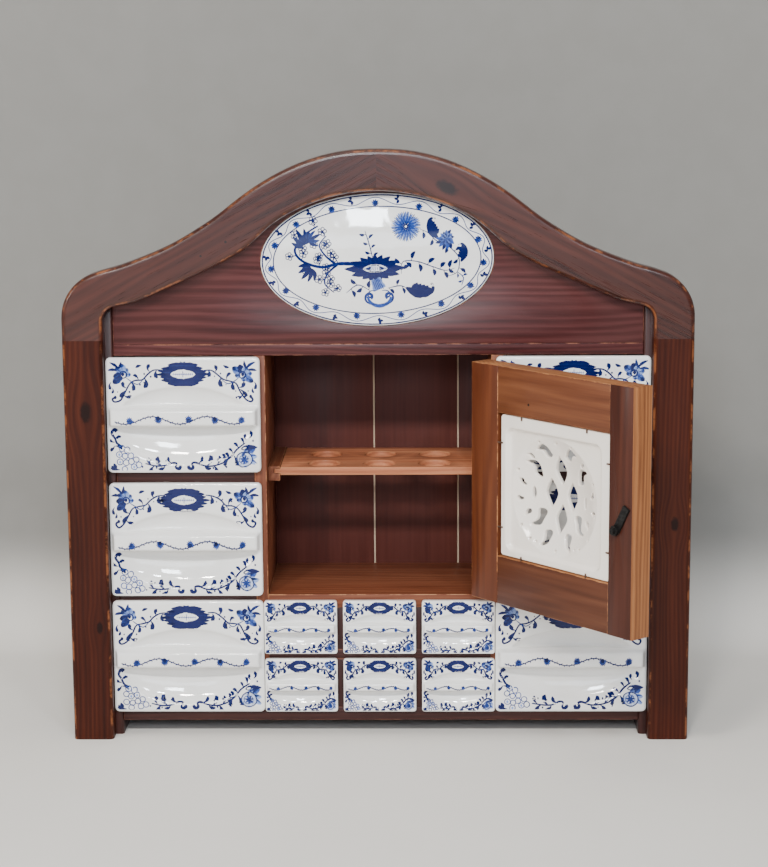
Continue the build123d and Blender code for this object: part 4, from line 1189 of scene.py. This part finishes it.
class PlaquePainter(Painter):
    """Paints the oval plaque. Its drawing is in millimetres from the plaque's middle."""

    SEED = 41

    def __init__(self, half_width: float, half_height: float) -> None:
        """Takes the half sizes of the plaque."""
        super().__init__(self.SEED, Brush(random.Random(self.SEED + 1), 1.35))
        self.half_width = half_width
        self.half_height = half_height

    def on_rim(self, inset: float, way: float) -> Point:
        """Returns the point at an angle in radians and a distance from the plaque's edge."""
        return (
            (self.half_width - inset) * math.cos(way), (self.half_height - inset) * math.sin(way),
        )

    def oval(self, inset: float, half: float, tone: float) -> None:
        """Paints a line round the plaque at a distance from its edge."""
        steps = 96
        for part in range(4):
            corners = [
                self.on_rim(inset, 2 * math.pi * (part * steps / 4 + k) / steps)
                for k in range(steps // 4 + 1)
            ]
            self.brush.stroke(corners, [half, half], tone)

    def border(self) -> None:
        """Paints the band round the edge: two lines, a wave and small blossoms."""
        brush = self.brush
        self.oval(2.0, 0.5, 0.85)
        self.oval(13.2, 0.42, 0.75)
        middle = 7.6
        wave = []
        count = 30
        for k in range(count * 6 + 1):
            way = 2 * math.pi * k / (count * 6)
            wave.append(self.on_rim(middle + 3.2 * math.sin(way * count / 2), way))
        for k in range(0, len(wave) - 1, 20):
            brush.stroke(wave[k:k + 21], [0.3, 0.3], 0.6)
        for k in range(count):
            way = 2 * math.pi * (k + 0.5) / count
            x, z = self.on_rim(middle - 2.4 * math.sin(way * count / 2), way)
            if k % 2:
                for petal in range(9):
                    brush.leaf(x, z, petal * 40 + k * 17, self.near(4.0, 0.4), 0.75,
                               self.near(0.62, 0.2), 0)
                brush.dab(x, z, 1.2, 0.92)
            else:
                for turn in (-1, 0, 1):
                    brush.leaf(x, z - turn * 0.6, math.degrees(way) + 90 + turn * 75, 4.4, 1.1, 0.86, 0.1)

    def crown_flower(self) -> None:
        """Paints the dark pointed flower in the middle, with its pale lens."""
        brush = self.brush
        x, z = -2.0, -8.0
        for angle, length in (
            (0, 31), (180, 31), (17, 25), (163, 26), (-17, 25), (197, 25), (38, 19), (142, 19),
            (-40, 17), (220, 17), (62, 16), (118, 15), (90, 15), (-90, 12), (-65, 14), (245, 14),
        ):
            way = math.radians(angle)
            ux, uz = math.cos(way), math.sin(way)
            size = self.near(length, 1.0)
            brush.stroke(
                [(x + ux * 5.0, z + uz * 2.4), (x + ux * size * 0.62, z + uz * size * 0.58),
                 (x + ux * size, z + uz * size * 0.94 + 0.5)],
                [2.6, 3.5, 3.0, 1.5, 0.12], self.near(0.93, 0.05),
            )
        brush.stroke([(x - 12, z), (x, z + 0.3), (x + 12, z)], [0.4, 2.4, 3.3, 2.4, 0.4], 0.05)
        for k in range(-5, 6):
            brush.line([(x + k * 2, z - 1.9 + abs(k) * 0.25), (x + k * 2.3, z + 1.9 - abs(k) * 0.25)],
                       0.22, 0.6)
        brush.stroke([(x, z - 10), (x + 2, z - 16), (x + 4, z - 21)], [3.4, 4.4, 5.2], 0.34)
        for k in range(-2, 3):
            brush.line([(x + k * 1.4, z - 10), (x + 2 + k * 1.8, z - 16), (x + 4 + k * 2, z - 21)],
                       0.3, 0.6)
        base = (x + 3, z - 30)
        for turn in (-1, 1):
            brush.scroll(base[0] + turn * 2, base[1] - 6, 90 - turn * 95, 17.0, turn, 0.6)
            brush.scroll(base[0] + turn * 3, base[1] + 7.5, 90 - turn * 80, 11.0, -turn, 0.6)
        brush.stroke(
            [(base[0] - 12, base[1] + 2), (base[0] - 8, base[1] - 5), (base[0], base[1] - 8),
             (base[0] + 9, base[1] - 5), (base[0] + 12, base[1] + 1)], [0.8, 1.3, 1.5, 1.3, 0.8], 0.42,
        )

    def blossom(self, x: float, z: float, size: float) -> None:
        """Paints a small five-petalled blossom in outline."""
        for k in range(5):
            way = 2 * math.pi * k / 5 + self.hand.uniform(-0.2, 0.2)
            self.brush.ring(x + size * 0.62 * math.cos(way), z + size * 0.62 * math.sin(way),
                            size * 0.40, 0.30, 0.75)
        self.brush.dab(x, z, size * 0.22, 0.9)

    def branch(self, stem: list[Point], half: float, blossoms: int, spread: float) -> None:
        """Paints a stem with blossoms and leaves on alternate sides.

        Args:
            stem: Points that it runs through.
            half: Half its width.
            blossoms: How many blossoms it carries.
            spread: How far they stand off the stem.
        """
        brush = self.brush
        brush.stroke(stem, [half * 1.4, half, half * 0.8, half * 0.5], 0.7)
        line = brush.curve(stem, 40)
        for k in range(blossoms):
            at = int(6 + (k + 0.5) * 34 / blossoms)
            x, z = line[min(at, 39)]
            nx, nz = line[min(at + 1, 40)]
            way = math.atan2(nz - z, nx - x) + (1.2 if k % 2 else -1.2)
            ex = x + spread * math.cos(way)
            ez = z + spread * math.sin(way)
            brush.line([(x, z), ((x + ex) / 2 + 0.6, (z + ez) / 2), (ex, ez)], 0.32, 0.7)
            self.blossom(ex, ez, self.near(4.1, 0.4))

    def leaf_spray(self, x: float, z: float, angle: float, size: float, tone: float) -> None:
        """Paints a fan of long narrow leaves."""
        for k in range(-2, 3):
            self.brush.leaf(x, z, angle + k * 27, self.near(size - abs(k) * size * 0.1, 1.0),
                            size * 0.105, tone - 0.1 * (k % 2), 0.08 * k)

    def twig(self, stem: list[Point], leaves: int, size: float, tone: float) -> None:
        """Paints a thin stem with small leaves in pairs."""
        brush = self.brush
        brush.line(stem, 0.36, tone * 0.85)
        line = brush.curve(stem, 40)
        for k in range(leaves):
            at = int(3 + k * 36 / leaves)
            x, z = line[at]
            nx, nz = line[at + 1]
            way = math.degrees(math.atan2(nz - z, nx - x))
            side = 1 if k % 2 else -1
            px = x + math.cos(math.radians(way + side * 70)) * size * 0.3
            pz = z + math.sin(math.radians(way + side * 70)) * size * 0.3
            brush.line([(x, z), (px, pz)], 0.25, tone)
            brush.leaf(px, pz, way + side * self.near(62, 10), self.near(size, 0.8), size * 0.21, tone)

    def aster(self, x: float, z: float) -> None:
        """Paints the round many-petalled flower."""
        brush = self.brush
        for reach, count, tone, half in ((14.5, 24, 0.34, 1.25), (10.5, 18, 0.5, 1.0), (6.0, 12, 0.66, 0.8)):
            for k in range(count):
                way = 360 * (k + self.hand.uniform(-0.15, 0.15)) / count
                foot = reach * 0.34
                brush.leaf(x + foot * math.cos(math.radians(way)), z + foot * math.sin(math.radians(way)),
                           way, reach * self.near(0.66, 0.05), half, tone, 0.05)
        for k in range(24):
            way = math.radians(15 * k + 7)
            brush.line([(x + 9 * math.cos(way), z + 9 * math.sin(way)),
                        (x + 15 * math.cos(way), z + 15 * math.sin(way))], 0.28, 0.72)
        brush.ring(x, z, 1.9, 0.5, 0.9)

    def big_leaf(self, x: float, z: float, angle: float, size: float, side: int) -> None:
        """Paints a dark toothed leaf with a curled tip.

        Args:
            x: Its foot.
            z: Its foot.
            angle: The way it points, in degrees.
            size: Its length.
            side: The side that its teeth are on, 1 or -1.
        """
        brush = self.brush
        way = math.radians(angle)
        ux, uz = math.cos(way), math.sin(way)
        nx, nz = -uz * side, ux * side
        back = [(x, z), (x + ux * size * 0.5 - nx * size * 0.16, z + uz * size * 0.5 - nz * size * 0.16),
                (x + ux * size, z + uz * size), (x + ux * size * 1.04 + nx * size * 0.16,
                                                 z + uz * size * 1.04 + nz * size * 0.16)]
        brush.stroke(back, [0.4, 0.14 * size, 0.15 * size, 0.06 * size, 0.03 * size], 0.95)
        for k in range(4):
            fx = x + ux * size * (0.22 + 0.16 * k)
            fz = z + uz * size * (0.22 + 0.16 * k)
            brush.leaf(fx, fz, angle + side * 48, size * (0.32 - 0.03 * k), size * 0.075, 0.9, -0.1 * side)
        brush.scroll(back[-1][0], back[-1][1], angle + side * 80, size * 0.16, side, 0.9)

    def paint(self) -> Brush:
        """Paints the whole plaque and returns the brush with its strokes."""
        self.border()
        self.branch([(-18, -3), (-38, -2), (-56, -5), (-74, 1), (-82, 12), (-74, 26), (-58, 36)],
                    1.1, 10, 7.4)
        self.branch([(-42, -2), (-52, 7), (-57, 17), (-50, 26)], 0.7, 6, 6.2)
        self.branch([(-40, -3), (-50, -12), (-53, -22), (-44, -31)], 0.7, 6, 6.0)
        self.leaf_spray(-72, 18, 118, 17.0, 0.96)
        self.leaf_spray(-66, -6, 226, 16.0, 0.96)
        self.leaf_spray(-68, 22, 26, 13.0, 0.8)
        self.twig([(-4, 2), (-7, 16), (-11, 30)], 6, 5.4, 0.85)
        self.crown_flower()
        self.aster(30.0, 33.0)
        self.twig([(44, 30), (52, 26), (60, 18), (72, 12), (82, 0), (80, -14), (70, -18)], 9, 6.4, 0.85)
        self.twig([(24, -14), (26, -2), (40, -2), (56, -8), (68, -12), (78, -10)], 10, 7.4, 0.85)
        self.twig([(10, -28), (22, -26), (28, -28)], 3, 6.0, 0.85)
        self.twig([(-8, -30), (-20, -24), (-32, -32)], 4, 7.0, 0.85)
        self.big_leaf(28, -28, -8, 26.0, 1)
        self.big_leaf(62, 20, 112, 20.0, -1)
        self.big_leaf(84, -4, 82, 17.0, 1)
        for k in range(-3, 4):
            self.brush.leaf(70, 20, 250 + k * 24, self.near(13 - abs(k), 0.8), 1.7,
                            0.5 if k % 2 else 0.85, 0.05)
            self.brush.leaf(70, 20, 60 + k * 26, self.near(9 - abs(k) * 0.7, 0.8), 1.6,
                            0.4 if k % 2 else 0.8, 0.05)
        self.twig([(80, -14), (86, -20), (84, -28)], 3, 4.0, 0.7)
        return self.brush


# ---------------------------------------------------------------- porcelain
@dataclass(frozen=True)
class Softening:
    """How a sharp solid gets the soft edges of cast and glazed clay. Lengths are millimetres."""

    voxel: float
    passes: int
    triangles: int
    smooth_degrees: float

    def cast(self, node: str, name: str) -> Piece:
        """Returns the softened copy of a CAD node.

        Args:
            node: The CAD node that it is made from.
            name: The new object's name.
        """
        body = copied(node, name)
        apply_modifier(body, "REMESH", mode="VOXEL", voxel_size=self.voxel * MM)
        apply_modifier(body, "SMOOTH", factor=0.5, iterations=self.passes)
        before = len(body.data.polygons) * 2
        apply_modifier(body, "DECIMATE", ratio=min(1.0, self.triangles / before))
        smooth(body, self.smooth_degrees)
        return body


def hang_painting(painting: Piece, body: str, paint: Material, strokes: int) -> None:
    """Gives a painting its paint and lets it ride on a body."""
    painting.data.materials.append(paint)
    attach(painting, body)
    LOG.info("%s has %d strokes", painting.name, strokes)


@dataclass
class CastDrawer:
    """One size of cast porcelain drawer: a softened body, its copies and their paintings."""

    nodes: list[str]
    softening: Softening
    drawing_scale: float
    brush_thickness: float
    seed: int
    glaze: Material
    paint: Material

    def build(self) -> None:
        """Makes the body once, copies it to each place and paints each front."""
        first = self.softening.cast(self.nodes[0], self.nodes[0] + "_cast")
        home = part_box(self.nodes[0])[0]
        for index, node in enumerate(self.nodes):
            body = first
            if index:
                body = bpy.data.objects.new(node + "_cast", first.data.copy())
                bpy.context.scene.collection.objects.link(body)
                body.data.transform(Matrix.Translation(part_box(node)[0] - home))
            body.data.materials.clear()
            body.data.materials.append(self.glaze)
            hand_over(body, node)
            self.painted(body, node, index)

    def painted(self, body: Piece, node: str, index: int) -> None:
        """Paints the front of one drawer.

        Args:
            body: The drawer's softened body.
            node: The CAD node that it stands for.
            index: The drawer's place among those of its size.
        """
        low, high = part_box(node)
        painter = DrawerPainter(self.seed + index * 7, self.brush_thickness)
        brush = painter.paint()
        places = Matrix.Translation(Vector(((low.x + high.x) / 2, 0, low.z)))
        painting = brush.lay(node + "_painting", body, places, self.drawing_scale, 0.05)
        hang_painting(painting, body_of(node), self.paint, brush.strokes)


class OvalPlaque:
    """The domed oval plaque, softened at its edge and painted."""

    SOFTENING = Softening(1.0, 8, 60000, 60.0)
    TILT_DEGREES = -1.5

    def build(self, glaze: Material, paint: Material) -> None:
        """Makes the plaque and its painting.

        Args:
            glaze: The glaze material.
            paint: The paint material.
        """
        body = self.SOFTENING.cast("oval_plaque", "domed_plaque")
        body.data.materials.append(glaze)
        hand_over(body, "oval_plaque")
        low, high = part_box("oval_plaque")
        middle = (low + high) / 2
        painter = PlaquePainter((high.x - low.x) / 2 / MM, (high.z - low.z) / 2 / MM)
        brush = painter.paint()
        tilt = Matrix.Rotation(math.radians(self.TILT_DEGREES), 4, "Y")
        places = Matrix.Translation(Vector((middle.x, 0, middle.z))) @ tilt
        painting = brush.lay("plaque_painting", body, places, 1.0, 0.06)
        hang_painting(painting, "carcass", paint, brush.strokes)


class PiercedTile:
    """The tile in the door, with the rounded lips that glaze leaves round its holes."""

    SOFTENING = Softening(0.75, 5, 120000, 60.0)

    def build(self, glaze: Material) -> None:
        """Makes the tile.

        Args:
            glaze: The glaze material.
        """
        tile = self.SOFTENING.cast("pierced_tile", "glazed_tile")
        tile.data.materials.append(glaze)
        hand_over(tile, "pierced_tile")


# ---------------------------------------------------------------- joinery
@dataclass
class Board:
    """A sawn board with its sharp edges worn round."""

    node: str
    finish: WoodFinish
    grain: Grain
    seed: float
    edge: float = 0.8
    slot: Slot = Slot.FRAME_WOOD
    knots: tuple[Knot, ...] = ()
    marks: tuple[Knot, ...] = ()
    worn: bool = True

    def build(self) -> Piece:
        """Makes the board from its CAD solid.

        Returns:
            The new piece.
        """
        piece = copied(self.node, self.node + "_board")
        bpy.ops.object.mode_set(mode="EDIT")
        bpy.ops.mesh.select_all(action="SELECT")
        bpy.ops.mesh.dissolve_limited(angle_limit=math.radians(1.0))
        bpy.ops.object.mode_set(mode="OBJECT")
        piece.data.materials.append(self.finish.make(self.grain, self.seed, self.knots, False, self.marks))
        piece.data.materials.append(self.finish.make(self.grain, self.seed, (), self.worn))
        apply_modifier(
            piece, "BEVEL", width=self.edge * MM, segments=2, limit_method="ANGLE",
            angle_limit=math.radians(50), material=1, harden_normals=False,
        )
        smooth(piece, 40.0)
        hand_over(piece, self.node)
        return piece


class FrontFrame:
    """The posts and the arched top, whose front edges the CAD already rounds."""

    POST_KNOTS = (Knot(-296.0, 3.0, 345.0, 7.0), Knot(-288.0, 3.0, 120.0, 4.0))
    RIGHT_KNOTS = (Knot(301.0, 3.0, 228.0, 5.0),)
    ARCH_MARKS = (Knot(-150.6, 3.0, 517.0, 1.5), Knot(-175.8, 3.0, 503.0, 1.3))
    CROWN_KNOTS = (Knot(70.0, 3.0, 570.0, 7.5),)

    def build(self) -> None:
        """Gives each piece of the frame its wood."""
        dress("left_post", MAHOGANY.make(Grain.UPRIGHT, 0.3, self.POST_KNOTS))
        dress("right_post", MAHOGANY.make(Grain.UPRIGHT, 1.1, self.RIGHT_KNOTS))
        dress("left_arch_rail", ARCH_STAIN_AND_PAINTED_SHEEN.make(Grain.LEFT_ARCH, 2.3, (), False, self.ARCH_MARKS))
        dress("right_arch_rail", ARCH_STAIN_AND_PAINTED_SHEEN.make(Grain.RIGHT_ARCH, 3.2, self.CROWN_KNOTS))


class Carcass:
    """The boards behind the front frame."""

    BACK_BOARDS = 6
    TONGUE = 7.0

    def build(self) -> None:
        """Makes every board of the carcass."""
        Board("header_board", HEADER_STAIN_AND_PAINTED_REFLECTION, Grain.ACROSS, 0.7, 0.6).build()
        for side, seed in (("left", 1.4), ("right", 2.6)):
            for name, finish, grain, shift, edge in (
                ("side_panel", RAIL_STAIN_AND_SHADE, Grain.UPRIGHT, 0.0, 0.8),
                ("upright", INNER_WOOD, Grain.UPRIGHT, 1.0, 0.7),
                ("lower_drawer_rail", RAIL_STAIN_AND_SHADE, Grain.ACROSS, 0.4, 0.6),
                ("upper_drawer_rail", RAIL_STAIN_AND_SHADE, Grain.ACROSS, 0.8, 0.6),
                ("small_divider", RAIL_STAIN_AND_SHADE, Grain.UPRIGHT, 0.2, 0.6),
            ):
                Board(f"{side}_{name}", finish, grain, seed + shift, edge).build()
            Board(
                f"{side}_shelf_cleat", INNER_WOOD, Grain.DEPTH, seed + 1.7, 0.5, Slot.INNER_WOOD,
            ).build()
        Board("top_board", HEADER_STAIN_AND_PAINTED_REFLECTION, Grain.ACROSS, 4.1, 0.6).build()
        Board("bottom_board", RAIL_STAIN_AND_SHADE, Grain.ACROSS, 4.7, 0.6).build()
        Board("small_drawer_rail", RAIL_STAIN_AND_SHADE, Grain.ACROSS, 5.2, 0.6).build()
        Board("compartment_floor", INNER_WOOD, Grain.ACROSS, 5.9, 0.7, Slot.INNER_WOOD).build()
        Board("egg_shelf", SHELF_WOOD, Grain.ACROSS, 6.4, 0.5, Slot.INNER_WOOD).build()
        for index in range(1, self.BACK_BOARDS + 1):
            self.back_board(index)

    def back_board(self, index: int) -> None:
        """Makes one back board, whose tongue was never stained.

        Args:
            index: The board's number from the left.
        """
        node = f"back_board_{index}"
        piece = Board(node, BACK_STAIN, Grain.UPRIGHT, 7.0 + index * 0.6, 0.4).build()
        if index == self.BACK_BOARDS:
            return
        piece.data.materials.append(BARE_TONGUE.make(Grain.UPRIGHT, index))
        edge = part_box(node)[1].x - (self.TONGUE - 0.3) * MM
        for face in piece.data.polygons:
            if face.center.x > edge and abs(face.normal.z) < 0.5:
                face.material_index = RAW_INDEX


class Door:
    """The door's frame. Its outer edges are raw wood where it was trimmed."""

    HOLE = Knot(148.3, -62.5, 362.5, 1.7)

    def build(self) -> None:
        """Makes the four boards of the door's frame."""
        along = Vector(Grain.DOOR_RAIL.value)
        for name, finish, grain, seed, edge, marks in (
            ("hinge_stile", HINGE_STILE_WOOD, Grain.UPRIGHT, 1.9, 0.9, ()),
            ("lock_stile", LOCK_STAIN, Grain.UPRIGHT, 3.6, 0.9, ()),
            ("top_rail", DOOR_WOOD, Grain.DOOR_RAIL, 2.8, 0.7, (self.HOLE,)),
            ("bottom_rail", LOW_RAIL_WOOD, Grain.DOOR_RAIL, 4.4, 0.7, ()),
        ):
            piece = Board(
                f"door_{name}", finish, grain, seed, edge, Slot.INNER_WOOD, (), marks,
            ).build()
            piece.data.materials.append(RAW_EDGE.make(grain, 5.0))
            for face in piece.data.polygons:
                upward = abs(face.normal.z) > 0.9
                outward = name == "lock_stile" and face.normal.dot(along) > 0.8
                if upward or outward:
                    face.material_index = RAW_INDEX


class Fittings:
    """Hinges, latch, nails and screws."""

    def build(self) -> None:
        """Gives each fitting its metal."""
        iron, brass, steel = BLACK_IRON.make(), BRASS.make(), STEEL.make()
        for half in ("fixed_leaf", "door_leaf"):
            dress(f"{half}_screws", brass)
            for level in ("lower", "upper"):
                dress(f"{level}_hinge_{half}", brass)
        dress("back_nails", steel)
        dress("tile_nails", RUSTY_NAIL.make())
        for node in ("latch_spindle", "latch_bar", "latch_nut"):
            dress(node, iron)


# ---------------------------------------------------------------- studio
@dataclass(frozen=True)
class Lamp:
    """A soft rectangular light: place, aim and size in metres and power in watts."""

    name: str
    place: Place
    aim: Place
    size: Point
    power: float
    colour: Colour

    def hang(self) -> None:
        """Adds the light to the scene."""
        light = bpy.data.lights.new(self.name, "AREA")
        light.shape = "RECTANGLE"
        light.size, light.size_y = self.size
        light.energy = self.power
        light.color = self.colour
        lamp = bpy.data.objects.new(self.name, light)
        bpy.context.scene.collection.objects.link(lamp)
        way = Vector(self.aim) - Vector(self.place)
        facing = way.to_track_quat("-Z", "Y").to_matrix().to_4x4()
        lamp.matrix_world = Matrix.Translation(Vector(self.place)) @ facing


@dataclass
class Studio:
    """Floor, backdrop, lights and the camera of the photograph. Lengths are millimetres."""

    WARM = (1.0, 0.955, 0.89)
    COOL = (0.84, 0.92, 1.0)
    SKY = (0.70, 0.82, 1.0)

    camera_x: float = 50.606
    camera_y: float = -2190.345
    camera_z: float = 723.327
    yaw: float = 0.0203
    pitch: float = 0.1809
    roll: float = -0.0065
    focal_pixels: float = 2203.5
    wall_distance: float = 300.0
    floor_half: float = 3200.0
    floor_front: float = -3000.0
    corner_radius: float = 180.0
    corner_steps: int = 14
    wall_height: float = 2600.0

    def front_face(self) -> float:
        """Returns the place of the frame's front face, in metres."""
        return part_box("left_post")[0].y

    def camera(self) -> None:
        """Places the camera where the photograph was taken from."""
        lens = bpy.data.cameras.new("photo_camera")
        lens.sensor_fit = "HORIZONTAL"
        lens.sensor_width = 36.0
        lens.lens = self.focal_pixels * lens.sensor_width / IMAGE_WIDTH
        lens.clip_start = 0.05
        lens.clip_end = 30.0
        camera = bpy.data.objects.new("photo_camera", lens)
        bpy.context.scene.collection.objects.link(camera)
        forward = Vector((
            -math.sin(self.yaw) * math.cos(self.pitch), math.cos(self.yaw) * math.cos(self.pitch),
            -math.sin(self.pitch),
        ))
        level = Vector((math.cos(self.yaw), math.sin(self.yaw), 0))
        upward = level.cross(forward)
        right = level * math.cos(self.roll) + upward * math.sin(self.roll)
        above = upward * math.cos(self.roll) - level * math.sin(self.roll)
        turned = Matrix((right, above, -forward)).transposed().to_4x4()
        place = Vector((self.camera_x, self.camera_y, self.camera_z)) * MM
        place.y += self.front_face()
        camera.matrix_world = Matrix.Translation(place) @ turned
        bpy.context.scene.camera = camera

    def backdrop(self) -> None:
        """Makes one pale sheet that is the floor and curves up behind the object."""
        deselect()
        bpy.ops.mesh.primitive_plane_add(size=1.0)
        sheet = bpy.context.object
        sheet.name = "studio_floor"
        near = self.floor_front * MM
        far = self.wall_distance * MM
        half = self.floor_half * MM
        corners = ((-half, near), (half, near), (-half, far), (half, far))
        for vertex, (x, y) in zip(sheet.data.vertices, corners):
            vertex.co = (x, y, 0)
        bpy.ops.object.mode_set(mode="EDIT")
        bpy.ops.mesh.select_mode(type="EDGE")
        bpy.ops.mesh.select_all(action="DESELECT")
        bpy.ops.object.mode_set(mode="OBJECT")
        for edge in sheet.data.edges:
            ends = [sheet.data.vertices[v].co.y for v in edge.vertices]
            edge.select = min(ends) > far - 0.001
        bpy.ops.object.mode_set(mode="EDIT")
        steps = self.corner_steps
        radius = self.corner_radius * MM
        for step in range(steps):
            low = math.pi / 2 * step / steps
            high = math.pi / 2 * (step + 1) / steps
            move = (
                0, radius * (math.sin(high) - math.sin(low)), radius * (math.cos(low) - math.cos(high)),
            )
            bpy.ops.mesh.extrude_region_move(TRANSFORM_OT_translate={"value": move})
        bpy.ops.mesh.extrude_region_move(
            TRANSFORM_OT_translate={"value": (0, 0, self.wall_height * MM)}
        )
        bpy.ops.object.mode_set(mode="OBJECT")
        bpy.ops.object.shade_smooth()
        sheet.data.materials.append(BACKDROP.make())

    def lights(self) -> None:
        """Adds the row of ceiling lamps, two windows, a side and a top light and the surroundings."""
        for place, power in enumerate((40.0, 35.0, 27.0, 21.0)):
            Lamp(
                f"ceiling_lamp_{place + 1}", (-1.15 + 0.74 * place, -2.6, 2.25), (0.0, 0.0, 0.3),
                (0.34, 0.2), power, self.WARM if place < 2 else self.COOL,
            ).hang()
        for lamp in (
            Lamp("near_window", (-0.17, -2.5, 1.20), (0.0, 0.0, 0.5), (0.34, 0.40), 21.0, self.COOL),
            Lamp("far_window", (-0.1, -3.3, 0.74), (0.0, 0.0, 0.55), (2.2, 0.4), 10.0, self.SKY),
            Lamp("side_lamp", (-2.6, -1.5, 1.2), (0.1, 0.0, 0.3), (0.5, 0.4), 20.0, self.WARM),
            Lamp("top_light", (-0.1, -0.5, 2.6), (0.0, 0.1, 0.3), (2.0, 1.4), 16.0, self.WARM),
        ):
            lamp.hang()
        self.surroundings()

    def surroundings(self) -> None:
        """Makes the room's light: pale above the horizon, dim below it."""
        world = bpy.data.worlds.new("room_light")
        world.use_nodes = True
        tree = world.node_tree
        ground = tree.nodes["Background"]
        way = tree.nodes.new("ShaderNodeTexCoord")
        split = tree.nodes.new("ShaderNodeSeparateXYZ")
        ramp = tree.nodes.new("ShaderNodeValToRGB")
        height = tree.nodes.new("ShaderNodeMapRange")
        height.inputs["From Min"].default_value = -0.3
        height.inputs["From Max"].default_value = 0.3
        tree.links.new(way.outputs["Generated"], split.inputs["Vector"])
        tree.links.new(split.outputs["Z"], height.inputs["Value"])
        tree.links.new(height.outputs["Result"], ramp.inputs["Fac"])
        tree.links.new(ramp.outputs["Color"], ground.inputs["Color"])
        low, high = ramp.color_ramp.elements
        low.position, high.position = 0.25, 0.6
        low.color = (0.22, 0.19, 0.17, 1.0)
        high.color = (0.90, 0.95, 1.0, 1.0)
        ground.inputs["Strength"].default_value = 0.34
        bpy.context.scene.world = world

    def build(self) -> None:
        """Sets up the whole studio."""
        self.camera()
        self.backdrop()
        self.lights()
        LOG.info("studio is ready")


def main() -> None:
    """Builds the dressed cabinet in order."""
    logging.basicConfig(level=logging.INFO, format="%(name)s: %(message)s")
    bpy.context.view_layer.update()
    Studio().build()
    glaze, paint = GLAZE.make(), COBALT.make()
    FrontFrame().build()
    Carcass().build()
    Door().build()
    Fittings().build()
    CastDrawer(
        [
            "upper_left_drawer", "middle_left_drawer", "lower_left_drawer", "upper_right_drawer",
            "middle_right_drawer", "lower_right_drawer",
        ],
        Softening(1.15, 4, 60000, 50.0), drawing_scale=1.0, brush_thickness=1.28, seed=11,
        glaze=glaze, paint=paint,
    ).build()
    CastDrawer(
        [
            f"small_{row}_{column}_drawer"
            for row in ("upper", "lower") for column in ("left", "middle", "right")
        ],
        Softening(0.85, 4, 36000, 50.0), drawing_scale=0.4815, brush_thickness=2.15, seed=211,
        glaze=glaze, paint=paint,
    ).build()
    OvalPlaque().build(glaze, paint)
    PiercedTile().build(TILE_GLAZE.make())


if __name__ == "__main__":
    main()
